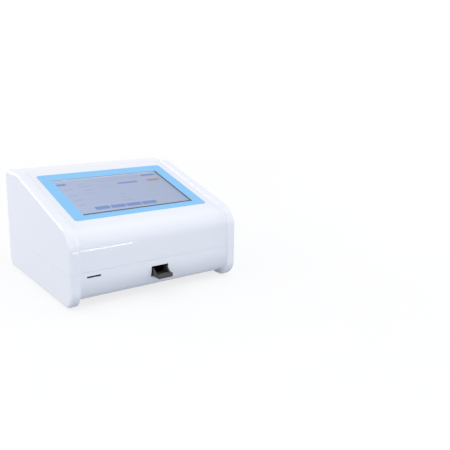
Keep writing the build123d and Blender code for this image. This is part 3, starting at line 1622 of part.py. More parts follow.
# Short screws, all alike, hold the rear panel and the boards
short_screw = screw(board_sheet + short_screw_bite)
with BuildPart() as short_screws:
    with Locations(*[Location((x, panel_face_y, z), (-90, 0, 0)) for x, z in rear_screw_spots]):
        add(short_screw)
    with Locations(*[(x, y, board_top) for x, y in mainboard_spots + power_board_spots]):
        add(short_screw)
    with Locations(*[(x, y, card_board_top) for x, y in card_board_spots]):
        add(short_screw)
short_screws.part.label = "short_screws"
export_step(short_screws.part, "parts/short_screws.step")

# Power switch: a snap-in body, and a rocker that turns on two stubs
rocker_pocket_height = 2 * (rocker_reach + rocker_end_gap)
rocker_y = panel_face_y - rocker_sink
rocker_pin_reach = rocker_gap + rocker_pin_length
with BuildPart() as switch_body:
    with BuildSketch(Plane.XZ.offset(-(panel_face_y + switch_flange))):
        with Locations((switch_x, switch_z)):
            RectangleRounded(switch_width + 2 * switch_rim, switch_height + 2 * switch_rim, switch_corner)
    extrude(amount=switch_flange)
    with BuildSketch(Plane.XZ.offset(-panel_face_y)):
        with Locations((switch_x, switch_z)):
            Rectangle(switch_width, switch_height)
    extrude(amount=switch_depth)
    with BuildSketch(Plane.XZ.offset(-(panel_face_y + switch_flange))):
        with Locations((switch_x, switch_z)):
            Rectangle(rocker_width + 2 * rocker_gap, rocker_pocket_height)
    extrude(amount=switch_flange + rocker_pocket_depth, mode=Mode.SUBTRACT)
    with BuildSketch(Plane.YZ.offset(switch_x - rocker_width / 2 - rocker_pin_reach - rocker_pin_gap)):
        with Locations((rocker_y, switch_z)):
            Circle(rocker_pin_radius + bore_gap)
    extrude(amount=rocker_width + 2 * (rocker_pin_reach + rocker_pin_gap), mode=Mode.SUBTRACT)
switch_body.part.label = "switch_body"
export_step(switch_body.part, "parts/switch_body.step")

rocker_tilt = math.radians(-rocker_throw)
rocker_plane = Plane(
    origin=(switch_x - rocker_width / 2, rocker_y, switch_z),
    x_dir=(0, math.cos(rocker_tilt), math.sin(rocker_tilt)),
    z_dir=(1, 0, 0),
)
with BuildPart() as power_rocker:
    with BuildSketch(rocker_plane):
        with BuildLine():
            Polyline(
                (rocker_front, rocker_reach),
                (-rocker_waist, rocker_waist_half),
                (-rocker_back, rocker_back_half),
                (-rocker_back, -rocker_back_half),
                (-rocker_waist, -rocker_waist_half),
                (rocker_front, -rocker_reach),
            )
            ThreePointArc((rocker_front, -rocker_reach), (rocker_dish, 0), (rocker_front, rocker_reach))
        make_face()
    extrude(amount=rocker_width)
    with BuildSketch(rocker_plane.offset(-rocker_pin_reach)):
        Circle(rocker_pin_radius)
    extrude(amount=rocker_width + 2 * rocker_pin_reach)
power_rocker.part.label = "power_rocker"
export_step(power_rocker.part, "parts/power_rocker.step")

# Flat leads, each held at both ends: one from the screen's board and one from the motor, to the mainboard
lead_end_y = mainboard_back - mainboard_depth + lead_end_setback
ribbon_start = slope_plane.from_local_coords(
    Vector(0, display_connector_v, display_under - board_sheet - display_chip_height)
)
with BuildPart() as display_ribbon:
    with BuildSketch(Plane.YZ.offset(-ribbon_width / 2)):
        with BuildLine():
            FilletPolyline(
                (ribbon_start.Y, ribbon_start.Z - ribbon_end_gap),
                (ribbon_start.Y + ribbon_lean, ribbon_start.Z - ribbon_drop),
                (lead_end_y, ribbon_start.Z - ribbon_fall),
                (lead_end_y, board_top),
                radius=[ribbon_upper_round, ribbon_lower_round],
            )
        trace(line_width=ribbon_sheet)
    extrude(amount=ribbon_width)
display_ribbon.part.label = "display_ribbon"
export_step(display_ribbon.part, "parts/display_ribbon.step")

motor_lead_z = bridge_top + motor_ear_sheet + motor_lead_rise
with BuildPart() as motor_lead:
    with BuildSketch(Plane.YZ.offset(pinion_x - motor_lead_width / 2)):
        with BuildLine():
            FilletPolyline(
                (pinion_y + motor_radius, motor_lead_z),
                (lead_end_y, motor_lead_z),
                (lead_end_y, board_top),
                radius=[motor_lead_round],
            )
        trace(line_width=motor_lead_sheet)
    extrude(amount=motor_lead_width)
motor_lead.part.label = "motor_lead"
export_step(motor_lead.part, "parts/motor_lead.step")
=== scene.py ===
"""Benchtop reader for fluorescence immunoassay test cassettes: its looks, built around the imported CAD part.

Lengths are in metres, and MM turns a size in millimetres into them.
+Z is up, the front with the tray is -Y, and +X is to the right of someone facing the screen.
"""

import json
import math
from contextlib import contextmanager
from functools import partial

import bmesh
import bpy
import numpy as np
from bpy.props import FloatProperty, FloatVectorProperty, PointerProperty
from mathutils import Matrix, Vector


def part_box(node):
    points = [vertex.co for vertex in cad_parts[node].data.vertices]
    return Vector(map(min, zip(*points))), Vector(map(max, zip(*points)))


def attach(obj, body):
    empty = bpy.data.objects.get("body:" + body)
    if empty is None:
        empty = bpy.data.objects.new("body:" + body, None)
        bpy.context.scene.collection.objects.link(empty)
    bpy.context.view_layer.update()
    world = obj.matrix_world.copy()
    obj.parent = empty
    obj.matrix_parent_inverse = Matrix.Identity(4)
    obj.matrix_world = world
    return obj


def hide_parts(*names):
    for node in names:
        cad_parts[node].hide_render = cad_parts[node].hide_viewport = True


bl_info = {
    "name": "Immunoassay reader looks",
    "version": (1, 0, 0),
    "blender": (4, 5, 0),
    "location": "View3D > Sidebar > Reader",
    "description": "Builds the visible surfaces and materials of a benchtop immunoassay reader",
    "category": "Object",
}

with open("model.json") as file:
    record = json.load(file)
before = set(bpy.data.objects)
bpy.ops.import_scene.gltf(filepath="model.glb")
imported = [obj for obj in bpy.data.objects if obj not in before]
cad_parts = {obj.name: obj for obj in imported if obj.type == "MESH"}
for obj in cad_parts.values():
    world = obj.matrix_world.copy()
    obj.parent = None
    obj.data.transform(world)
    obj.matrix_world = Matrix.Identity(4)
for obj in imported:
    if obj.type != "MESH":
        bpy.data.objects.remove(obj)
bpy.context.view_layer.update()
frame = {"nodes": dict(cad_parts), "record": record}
MM = 0.001
SLOT_OF = {part["node"]: part["material_slot"] for part in frame["record"]["subparts"]}
BODY_OF = {node: body for body, nodes in frame["record"]["behaviour"]["bodies"].items() for node in nodes}
case_low, case_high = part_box("upper_casing")
membrane_low, membrane_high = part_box("screen_membrane")
glass_low, glass_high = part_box("touch_glass")
liner_low, liner_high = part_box("tray_mouth_liner")
rear_low, rear_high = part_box("rear_panel")
speaker_low, speaker_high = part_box("speaker")


def linear(tone):
    """A colour written as sRGB hex, turned to the linear values that shaders use; a linear one stays as it is."""
    if not isinstance(tone, str):
        return tuple(tone)[:3]
    values = np.array([int(tone[i : i + 2], 16) for i in (0, 2, 4)]) / 255
    return tuple(float(v) for v in np.where(values <= 0.04045, values / 12.92, ((values + 0.055) / 1.055) ** 2.4))


def length(name, description, millimetres):
    """A length that a user may change."""
    return FloatProperty(name=name, description=description, default=millimetres * MM, unit="LENGTH", precision=5)


def angle(name, description, degrees):
    """An angle that a user may change."""
    return FloatProperty(name=name, description=description, default=math.radians(degrees), subtype="ANGLE")


def colour(name, description, text):
    """A colour that a user may change, written as sRGB hex."""
    return FloatVectorProperty(
        name=name, description=description, default=linear(text), subtype="COLOR", min=0.0, max=1.0
    )


class ReaderCasingSizes(bpy.types.PropertyGroup):
    """Sizes of the moulded casing, seen from the side and across."""

    slope: angle("Slope", "Tilt of the screen face from level", 15.1)
    strip: length("Top strip", "Depth of the level strip behind the screen face", 50.7)
    crease_round: length("Crease radius", "Rounding between the top strip and the screen face", 30.0)
    brow_round: length("Brow radius", "Rounding between the screen face and the front panel", 28.0)
    cheek_brow_round: length("Cheek brow radius", "Rounding at the top front of a side cheek", 30.0)
    back_round: length("Back radius", "Rounding at the top and bottom of the back", 10.0)
    back_lean: length("Back lean", "How far the top of the back stands ahead of its foot", 8.0)
    belly: angle("Belly angle", "How far the foot of the front panel turns under", 25.0)
    belly_round: length("Belly radius", "Rounding of the front panel towards its foot", 56.0)
    underside_round: length("Underside radius", "Rounding from the front panel into the underside", 18.5)
    base: length("Base height", "Height of the underside over the table", 8.0)
    cheek_width: length("Cheek width", "Width of the proud part at each side", 14.0)
    cheek_rise: length("Cheek rise", "How far a cheek stands over the screen face", 4.0)
    cheek_nose: length("Cheek nose", "How far a cheek stands ahead of the front panel", 5.0)
    cheek_step: length("Cheek step", "How far a cheek stands proud at the top and the back", 0.2)
    cheek_round: length("Cheek rounding", "Rounding of the long outer edges", 4.5)
    cheek_toe_round: length("Cheek toe radius", "Rounding at the foot of a cheek", 26.0)
    cheek_ground: length("Cheek ground gap", "Height of the foot of a cheek over the table", 0.6)
    step_foot: length("Step foot radius", "Hollow rounding where a cheek rises from the face", 2.0)
    step_lip: length("Step lip radius", "Rounding along the inner edge of a cheek", 2.6)
    seam: length("Seam height", "Height of the seam between the two halves", 50.0)
    seam_gap: length("Seam gap", "Width of the seam between the two halves", 0.18)
    wall: length("Wall", "Thickness of the moulded wall", 2.4)
    edge: length("Edge break", "Rounding of the moulding's cut edges", 0.2)


class ReaderScreenSizes(bpy.types.PropertyGroup):
    """Sizes of the membrane and what shows inside its window."""

    top: length("Membrane top", "Distance from the crease down to the membrane", 20.0)
    corner: length("Membrane corner", "Radius of the membrane's corners", 5.0)
    film: length("Film rise", "How far the membrane stands over the casing", 0.3)
    side: length("Side border", "Width of the membrane beside its window", 17.0)
    above: length("Upper border", "Width of the membrane above its window", 20.5)
    below: length("Lower border", "Width of the membrane below its window", 13.0)
    glass_depth: length("Glass depth", "How far the touch glass lies under the casing's face", 0.3)
    picture_depth: length("Picture depth", "How far the lit picture lies under the casing's face", 2.0)
    # Widths of a black band round the picture under the glass: wide below it and at its right, thin above and at its
    # left
    mask_low: length("Lower mask", "Width of the black print below the picture", 4.4)
    mask_side: length("Right mask", "Width of the black print at the picture's right", 2.0)
    mask_thin: length("Thin mask", "Width of the black print above the picture and at its left", 0.4)


class ReaderColours(bpy.types.PropertyGroup):
    """Colours of the finishes that show."""

    casing: colour("Casing", "Glossy white moulding", "EEF0F6")
    membrane: colour("Membrane", "Sky blue print on the film", "7CC3F3")
    picture: colour("Picture", "Grey blue ground of the lit picture", "AAB8DA")
    tray: colour("Tray", "Satin grey moulding of the tray", "3D3D3E")
    rear: colour("Rear panel", "Light grey powder coat", "D2D5D9")


class ReaderSettings(bpy.types.PropertyGroup):
    """Everything about the reader that a user may change."""

    casing: PointerProperty(type=ReaderCasingSizes)
    screen: PointerProperty(type=ReaderScreenSizes)
    colours: PointerProperty(type=ReaderColours)


def settings():
    """The reader's sizes and colours in this scene."""
    return bpy.context.scene.reader


# Materials


def add_node(tree, kind, values=None, links=None):
    """Adds a shader node of that kind, sets its own settings and its sockets from values, and links its inputs.

    A link comes from a socket, or from a node, which stands for its first output.
    """
    node = tree.nodes.new("ShaderNode" + kind)
    for name, value in (values or {}).items():
        if isinstance(name, str) and hasattr(node, name) and name not in node.inputs:
            setattr(node, name, value)
        else:
            node.inputs[name].default_value = value
    for name, source in (links or {}).items():
        tree.links.new(source.outputs[0] if isinstance(source, bpy.types.Node) else source, node.inputs[name])
    return node


def with_alpha(tone):
    """A colour as the four linear values of a socket."""
    return (*linear(tone), 1.0)


def shaded(tone, share):
    """A colour's linear values times a share, and 1 at most."""
    return tuple(min(1.0, value * share) for value in linear(tone))


def set_ramp(ramp, *stops):
    """Gives a colour ramp its two stops, each a place and a colour."""
    for element, (place, tone) in zip(ramp.color_ramp.elements, stops):
        element.position, element.color = place, with_alpha(tone)


def start_material(name):
    """An empty node material, and its tree with object coordinates ready."""
    material = bpy.data.materials.new(name)
    material.use_nodes = True
    tree = material.node_tree
    tree.nodes.clear()
    return material, tree, add_node(tree, "TexCoord").outputs["Object"]


def close_material(material, shader):
    """Links the shader to the material's output, and gives the material back."""
    add_node(material.node_tree, "OutputMaterial", links={"Surface": shader})
    return material


def grained(name, base, grain, second=None, stretch=(1, 1, 1), rough=(0.3, 0.4), bump=0.0, metallic=0.0, **sockets):
    """A finish with one fine grain, of size grain in millimetres, which changes its colour, roughness and height.

    Colour runs from base to second, roughness over rough, and bump is the grain's depth in millimetres.
    Stretch is how much finer the grain is along each axis.
    """
    material, tree, place = start_material(name)
    fine = add_node(tree, "Mapping", {"Scale": tuple(s / (grain * MM) for s in stretch)}, {"Vector": place})
    noise = add_node(tree, "TexNoise", {"Scale": 1.0, "Detail": 2.0}, {"Vector": fine})
    tones = add_node(tree, "ValToRGB", links={"Fac": noise})
    # Noise keeps near its middle, so the two tones stand close about it
    set_ramp(tones, (0.35, base), (0.65, second or shaded(base, 1.03)))
    gloss = add_node(tree, "MapRange", {"To Min": rough[0], "To Max": rough[1]}, {"Value": noise})
    links = {"Base Color": tones, "Roughness": gloss}
    if bump:
        links["Normal"] = add_node(tree, "Bump", {"Strength": 1.0, "Distance": bump * MM}, {"Height": noise})
    return close_material(material, add_node(tree, "BsdfPrincipled", {"Metallic": metallic, **sockets}, links))


def circuit_board(name, base, copper):
    """Glass laminate under green solder mask: darker and lighter patches where copper lies under the mask."""
    material, tree, place = start_material(name)
    track_pitch, weave_pitch = 3.5 * MM, 0.6 * MM
    tracks = add_node(tree, "TexVoronoi", {"distance": "MANHATTAN", "Scale": 1 / track_pitch}, {"Vector": place})
    tones = add_node(tree, "ValToRGB", links={"Fac": tracks})
    tones.color_ramp.interpolation = "CONSTANT"
    set_ramp(tones, (0.0, base), (0.42, copper))
    weave = add_node(tree, "TexNoise", {"Scale": 1 / weave_pitch, "Detail": 1.0}, {"Vector": place})
    gloss = add_node(tree, "MapRange", {"To Min": 0.25, "To Max": 0.4}, {"Value": weave})
    links = {"Base Color": tones, "Roughness": gloss}
    return close_material(material, add_node(tree, "BsdfPrincipled", {"IOR": 1.55}, links))


def clear_pane(name, tint, alpha, rough, ior):
    """Clear glass: mostly see-through, with the tint of its coating and a trace of wiped haze."""
    material, tree, place = start_material(name)
    smear_size = 18 * MM
    smear = add_node(tree, "TexNoise", {"Scale": 1 / smear_size, "Detail": 3.0}, {"Vector": place})
    gloss = add_node(tree, "MapRange", {"To Min": rough * 0.7, "To Max": rough * 1.3}, {"Value": smear})
    values = {"Base Color": with_alpha(tint), "IOR": ior, "Alpha": alpha}
    return close_material(material, add_node(tree, "BsdfPrincipled", values, {"Roughness": gloss}))


def lit_print(name, base, second):
    """Lit display behind glass: a flat colour whose backlight changes a little from base at the left to second.

    The colour comes from the backlight, over a dark cell, so it keeps its tone in any room light.
    """
    material, tree, place = start_material(name)
    across = add_node(tree, "SeparateXYZ", links={"Vector": place})
    ends = {"From Min": glass_low.x, "From Max": glass_high.x}
    share = add_node(tree, "MapRange", ends, {"Value": across})
    tones = add_node(tree, "ValToRGB", links={"Fac": share})
    set_ramp(tones, (0.0, base), (1.0, second))
    values = {"Base Color": with_alpha("20242C"), "Emission Strength": 0.84, "Roughness": 0.5}
    return close_material(material, add_node(tree, "BsdfPrincipled", values, {"Emission Color": tones}))


def make_materials():
    """One material for each finish of the record, keyed by its slot."""
    colours = settings().colours
    casing, membrane, tray, rear = colours.casing, colours.membrane, colours.tray, colours.rear
    steel, bright = "B9BABC", "CDCED0"
    metal = partial(grained, metallic=1.0)
    # Grains finer than about 0.3 mm in life are drawn that coarse, so that they show
    return {
        # Moulded ABS from a polished tool: a clean gloss with the faintest orange peel
        "casing_white": grained(
            "glossy_moulded_abs", casing, 14.0, shaded(casing, 0.996), rough=(0.05, 0.07), bump=0.001, IOR=1.5
        ),
        # Polyester film printed on its back: an even colour under a fine satin texture
        "membrane_blue": grained(
            "printed_polyester_film", membrane, 0.8, shaded(membrane, 0.98), rough=(0.32, 0.42), bump=0.004, IOR=1.6
        ),
        # Float glass with a clear touch coating: sharp reflections and hardly any tint
        "touch_glass": clear_pane("clear_touch_glass", "DCE6F4", 0.08, 0.05, 1.52),
        # Painted bezel and back of the display panel
        "display": grained("painted_display_housing", "8E96A4", 3.0, rough=(0.4, 0.5), IOR=1.5),
        # Rolled sheet, zinc plated: grey with a faint spangle
        "plated_steel": metal("zinc_plated_sheet", steel, 4.0, bright, rough=(0.3, 0.45), bump=0.01),
        # Nickel plated screws: bright, with fine turning marks
        "screw_steel": metal("nickel_plated_screws", bright, 0.4, steel, stretch=(1, 1, 4), rough=(0.18, 0.3)),
        # Moulded, with a fine spark texture that makes it satin
        "tray_grey": grained("satin_moulded_tray", tray, 0.5, shaded(tray, 0.9), rough=(0.36, 0.5), bump=0.01, IOR=1.5),
        # Moulded in matt black so that stray light dies in it
        "liner_black": grained("matt_black_moulding", "121314", 0.4, "1C1D1F", rough=(0.6, 0.75), bump=0.01),
        # Rolled spring strip: bright along the rolling direction
        "spring_steel": metal("rolled_spring_strip", bright, 0.3, steel, stretch=(0.1, 4, 1), rough=(0.15, 0.25)),
        # Ground rods: a fine line round the rod
        "ground_steel": metal("ground_bright_steel", steel, 0.3, bright, stretch=(1, 5, 1), rough=(0.12, 0.22)),
        # Sintered bronze: warm, with tiny pores
        "bush_bronze": metal("sintered_bronze", "A97F45", 0.5, "8C6735", rough=(0.4, 0.6), bump=0.02),
        # Natural acetal: milky and a little waxy
        "gear_acetal": grained(
            "natural_acetal", "E8E6DE", 2.0, rough=(0.35, 0.45), IOR=1.48, **{"Subsurface Weight": 0.1}
        ),
        # Glass laminate with green solder mask over copper
        "board_green": circuit_board("solder_masked_laminate", "1B5B34", "2F7A48"),
        # Moulded black nylon and epoxy parts
        "part_black": grained("black_moulded_nylon", "1F2022", 0.6, "2A2B2E", rough=(0.42, 0.55), bump=0.01),
        # Tin plated shells of the sockets: soft grey shine
        "socket_steel": metal("tin_plated_shell", bright, 1.5, steel, rough=(0.25, 0.4)),
        # Extruded aluminium: fine lines along the extrusion
        "sink_aluminium": metal("extruded_aluminium", "BFC1C4", 0.4, steel, stretch=(1, 0.1, 1), rough=(0.3, 0.42)),
        # Stainless cell case, polished
        "cell_steel": metal("polished_stainless_can", bright, 0.5, steel, rough=(0.12, 0.2)),
        # Aluminium, machined and black anodised: dark with a low sheen
        "optics_black": grained(
            "black_anodised_aluminium",
            "26272B",
            0.5,
            "303136",
            stretch=(4, 1, 1),
            rough=(0.35, 0.5),
            metallic=0.6,
        ),
        # Ground optical glass, clear
        "lens_glass": clear_pane("ground_optical_glass", "E6F0F0", 0.25, 0.02, 1.52),
        # Coated filter glass: deep blue
        "filter_glass": clear_pane("coated_filter_glass", "4660C8", 0.6, 0.04, 1.52),
        # Dichroic mirror: bright metal-like coating
        "mirror_coat": metal("dichroic_coating", "C9D2E0", 6.0, "B9C6DC", rough=(0.02, 0.05)),
        # Moulded rubber: black, dry, slightly uneven
        "foot_rubber": grained("moulded_rubber", "202123", 0.8, "2B2C2E", rough=(0.7, 0.85), bump=0.02),
        # Powder coat on sheet steel: fine orange peel
        "rear_grey": grained(
            "powder_coated_sheet", rear, 0.9, shaded(rear, 0.96), rough=(0.42, 0.55), bump=0.02, IOR=1.5
        ),
        # Polyester flat lead: white, with a faint line for each wire
        "ribbon_white": grained(
            "flat_polyester_lead",
            "DEDED8",
            1.0,
            "C9C9C2",
            stretch=(1.6, 0.02, 0.02),
            rough=(0.35, 0.45),
            IOR=1.58,
        ),
        # Clear violet resin of the lamp
        "lamp_resin": grained(
            "violet_resin", "B8B0D6", 3.0, rough=(0.1, 0.2), IOR=1.54, **{"Transmission Weight": 0.4}
        ),
    }


def make_screen_materials():
    """Finishes of the lit picture, keyed by name."""
    picture = settings().colours.picture
    return {
        # Lit liquid crystal: an even light from behind, a little dimmer at the right
        "lit_display_ground": lit_print("lit_display_ground", picture, shaded(picture, 0.84)),
        "screen_button": lit_print("lit_blue_field", "6585C9", "5B7AC3"),
        "screen_warm_button": lit_print("lit_warm_field", "A98A80", "A07C70"),
        "screen_text_line": lit_print("lit_grey_line", "98A3C0", "939EBC"),
        "screen_rule": lit_print("lit_pale_rule", "C6CFE4", "BFC9E0"),
        # Black band under the glass round the picture
        "black_mask_band": grained("black_mask_finish", "1B1C22", 1.0, "23242A", rough=(0.4, 0.5)),
    }


MATERIALS = {}


def dress(piece, slot, body, node):
    """Gives a finished piece the material of its slot, and rides it on its body in place of its CAD node."""
    piece.data.materials.clear()
    piece.data.materials.append(MATERIALS[slot])
    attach(piece, body)
    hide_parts(node)


def show(piece, finish):
    """Dresses a piece of the picture in one of the display's own finishes."""
    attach(piece, "casing")
    piece.data.materials.append(MATERIALS[finish])


# Meshes


def mesh_object(name, points, faces, smooth=True):
    """An object at the origin from an array of points and lists of corner numbers."""
    mesh = bpy.data.meshes.new(name)
    mesh.from_pydata(np.asarray(points, float).reshape(-1, 3), [], [list(map(int, f)) for f in faces])
    mesh.polygons.foreach_set("use_smooth", np.full(len(mesh.polygons), smooth))
    mesh.validate()
    piece = bpy.data.objects.new(name, mesh)
    bpy.context.scene.collection.objects.link(piece)
    return piece


def quads(rows, columns, first=0, closed_rows=False, closed_columns=False, keep=None):
    """Corner numbers of a grid's four-sided faces, as an array; a closed direction joins its last line to its first.

    The faces point along (column direction) x (row direction). keep is an array of which cells stay.
    """
    j, i = np.meshgrid(
        np.arange(rows if closed_rows else rows - 1),
        np.arange(columns if closed_columns else columns - 1),
        indexing="ij",
    )
    right, up = (i + 1) % columns, (j + 1) % rows
    corners = np.stack([j * columns + i, j * columns + right, up * columns + right, up * columns + i], axis=-1)
    if keep is not None:
        return first + corners[keep]
    return first + corners.reshape(-1, 4)


def prism_faces(sides, first):
    """Faces of a closed prism: the ring of points from number first on is its foot, and the next ring its top."""
    foot = first + np.arange(sides)
    return [*quads(2, sides, first=first, closed_columns=True), foot[::-1], foot + sides]


@contextmanager
def edited(piece):
    """The piece's mesh opened for editing, and written back at the end."""
    work = bmesh.new()
    work.from_mesh(piece.data)
    yield work
    work.to_mesh(piece.data)
    work.free()


def soften(piece, width, limit=30.0):
    """A live Bevel that breaks edges sharper than limit in degrees, with normals that keep the flats flat."""
    bevel = piece.modifiers.new("edge_break", "BEVEL")
    bevel.width = width
    bevel.segments = 2
    bevel.limit_method = "ANGLE"
    bevel.angle_limit = math.radians(limit)
    bevel.miter_outer = "MITER_ARC"
    normals = piece.modifiers.new("flat_normals", "WEIGHTED_NORMAL")
    normals.keep_sharp = True


def finish_modifiers(piece):
    """Puts what a piece's modifiers make into its own mesh."""
    bpy.context.view_layer.update()
    graph = bpy.context.evaluated_depsgraph_get()
    finished = bpy.data.meshes.new_from_object(piece.evaluated_get(graph))
    old = piece.data
    piece.modifiers.clear()
    piece.data = finished
    bpy.data.meshes.remove(old)


def finer_copy(node, name, width=0.0):
    """A copy of a CAD node, its loose triangles merged into flat faces and its edges broken by width in millimetres."""
    piece = bpy.data.objects.new(name, frame["nodes"][node].data.copy())
    bpy.context.scene.collection.objects.link(piece)
    with edited(piece) as work:
        bmesh.ops.remove_doubles(work, verts=work.verts, dist=0.002 * MM)
        bmesh.ops.dissolve_limit(
            work, angle_limit=math.radians(1.0), verts=work.verts, edges=work.edges, delimit={"NORMAL"}
        )
    piece.data.polygons.foreach_set("use_smooth", np.ones(len(piece.data.polygons), bool))
    if width:
        soften(piece, width * MM)
    dress(piece, SLOT_OF[node], BODY_OF[node], node)


# Casing


def rounded_path(corners, radii):
    """Straights and arcs along a path whose inner corners are rounded.

    An arc's centre lies on its corner's bisector, radius / sin(half the corner) away, and the straights
    stop radius / tan(half the corner) short of it. Each stretch is (start, end, centre, turn), turn 0 if straight.
    """
    corners = np.array(corners, float)
    stretches, at = [], corners[0]
    for before, corner, after, radius in zip(corners, corners[1:], corners[2:], radii):
        back = (before - corner) / np.linalg.norm(before - corner)
        ahead = (after - corner) / np.linalg.norm(after - corner)
        half = math.acos(float(np.clip(back @ ahead, -1, 1))) / 2
        start = corner + back * radius / math.tan(half)
        end = corner + ahead * radius / math.tan(half)
        centre = corner + (back + ahead) / np.linalg.norm(back + ahead) * radius / math.sin(half)
        stretches.append((at, start, None, 0.0))
        stretches.append((start, end, centre, -(math.pi - 2 * half)))
        at = end
    stretches.append((at, corners[-1], None, 0.0))
    return stretches


def walk(path, stations):
    """Points and outward normals of a clockwise path at stations, whose whole part is the stretch and rest the share.

    On a straight it is start + share x (end - start); on an arc the start turns about the centre by share x turn.
    """
    stretch = np.clip(np.floor(stations).astype(int), 0, len(path) - 1)
    share = stations - stretch
    points, normals = np.zeros((len(stations), 2)), np.zeros((len(stations), 2))
    for k, (start, end, centre, turn) in enumerate(path):
        here = stretch == k
        if centre is None:
            along = end - start
            points[here] = start + share[here, None] * along
            facing = np.array([-along[1], along[0]])
            if np.linalg.norm(facing) < 1e-9:
                # A straight of no length takes the direction in which the arc before it ends
                facing = end - path[k - 1][2]
            normals[here] = facing / np.linalg.norm(facing)
        else:
            spin = share[here] * turn
            arm = start - centre
            turned = np.stack(
                [arm[0] * np.cos(spin) - arm[1] * np.sin(spin), arm[0] * np.sin(spin) + arm[1] * np.cos(spin)], axis=1
            )
            points[here] = centre + turned
            normals[here] = turned / np.linalg.norm(arm)
    return points, normals


def station_at(path, axis, value, first, last):
    """The station between first and last at which a path reaches a coordinate, by interpolation on fine steps."""
    steps = 1500
    fine = np.linspace(first, last, steps)
    reached = walk(path, fine)[0][:, axis]
    order = np.argsort(reached)
    return float(np.interp(value, reached[order], fine[order]))


def slope_height(y, rise=0.0):
    """Height of the screen face at y, or of a face that lies rise over it, square to it."""
    slope = settings().casing.slope
    return case_high.z - (case_crease() - y) * math.tan(slope) + rise / math.cos(slope)


def case_crease():
    """Where the level strip meets the screen face, before rounding."""
    return case_back() - settings().casing.strip


def case_back():
    """The hindmost line of the casing."""
    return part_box("lower_casing")[1].y


def leaning_back(z):
    """Where the leaning back stands at height z, so that the rounded foot of a cheek ends at the hindmost line."""
    s = settings().casing
    lean = math.atan(s.back_lean / case_high.z)
    spare = s.back_round * (1 / math.cos(lean) - 1)
    return case_back() + spare - s.back_lean * (z - s.cheek_ground - s.back_round) / case_high.z


def side_paths(upper):
    """Paths of the casing's middle and of a cheek, seen from the side, clockwise from seam to seam.

    Both have the same stretches in the same order, so that equal stations match. Drawn is how far a path
    lies inside the top and the back; a face that lies rise over the screen face meets the top, less drawn,
    rise / sin(slope) + drawn / tan(slope) ahead of the crease.
    """
    s = settings().casing
    front, crease, top = case_low.y, case_crease(), case_high.z
    panel = front + s.cheek_nose
    paths = []
    if upper:
        seam = s.seam + s.seam_gap
        for y, rise, drawn, brow_round in (
            (panel, 0.0, s.cheek_step, s.brow_round),
            (front, s.cheek_rise, 0.0, s.cheek_brow_round),
        ):
            corners = [
                (y, seam),
                (y, slope_height(y, rise)),
                (crease - rise / math.sin(s.slope) - drawn / math.tan(s.slope), top - drawn),
                (leaning_back(top) - drawn, top - drawn),
                (leaning_back(seam) - drawn, seam),
            ]
            paths.append(rounded_path(corners, [brow_round, s.crease_round, s.back_round]))
        return paths
    # The foot of the panel holds half of both arcs and a short straight between them
    straight = 1.0 * MM
    belly_half = s.belly_round * math.tan(s.belly / 2)
    run = belly_half + s.underside_round * math.tan((math.pi / 2 - s.belly) / 2) + straight
    curl = run * math.sin(s.belly), run * math.cos(s.belly)
    # The toe of a cheek has two corners of 45 degrees, rounded into one quarter circle
    toe = s.cheek_toe_round * (1 - math.tan(math.pi / 8))
    for y, foot, along, up, drawn, rounds in (
        (panel, s.base, *curl, s.cheek_step, (s.underside_round, s.belly_round)),
        (front, s.cheek_ground, toe, toe, 0.0, (s.cheek_toe_round, s.cheek_toe_round)),
    ):
        corners = [
            (leaning_back(s.seam) - drawn, s.seam),
            (leaning_back(foot) - drawn, foot),
            (y + along, foot),
            (y, foot + up),
            (y, s.seam),
        ]
        paths.append(rounded_path(corners, [s.back_round, *rounds]))
    return paths


def with_edges(even, edges, clear):
    """Even places with the edges added, and the even ones that lie too near an edge left out; the ends stay."""
    edges = np.array(edges, float)
    keep = np.all(np.abs(even[:, None] - edges[None]) > clear, axis=1)
    keep[[0, -1]] = True
    return np.sort(np.concatenate([even[keep], edges]))


def across_stations(edges):
    """Columns across the casing as places x, shares t of the cheek, and insets of the cheek's outline.

    The step at a cheek is a hollow quarter round, a short draft and a lip of a quarter round, and the
    outer edge is a quarter round of the cheek rounding: x = edge - r + r sin(a), inset = r (1 - cos(a)).
    """
    s = settings().casing
    edge = case_high.x
    step = edge - s.cheek_width
    draft, turned_in, nearest = 0.3 * MM, 0.6 * MM, 2.2 * MM
    # Shares of the cheek's rise at the end of the hollow and at the start of the lip
    hollow_share, lip_share = 0.4, 0.5
    hollow, lip, outer = (np.linspace(0, math.pi / 2, count) for count in (7, 9, 13))
    flat = np.linspace(step + draft + s.step_lip, edge - s.cheek_round, 4)[1:-1]
    x = np.concatenate([
        step - s.step_foot * (1 - np.sin(hollow)),
        step + draft + s.step_lip * (1 - np.cos(lip)),
        flat,
        edge - s.cheek_round * (1 - np.sin(outer)),
        [edge],
    ])
    t = np.concatenate([
        hollow_share * (1 - np.cos(hollow)),
        lip_share + (1 - lip_share) * np.sin(lip),
        np.ones(len(flat) + len(outer) + 1),
    ])
    inset = np.concatenate([
        np.zeros(len(hollow) + len(lip) + len(flat)),
        s.cheek_round * (1 - np.cos(outer)),
        [s.cheek_round + turned_in],
    ])
    middle = with_edges(np.linspace(-x[0], x[0], 25), edges, nearest)[1:-1]
    level = np.zeros(len(middle))
    return (
        np.concatenate([-x[::-1], middle, x]),
        np.concatenate([t[::-1], level, t]),
        np.concatenate([inset[::-1], level, inset]),
    )


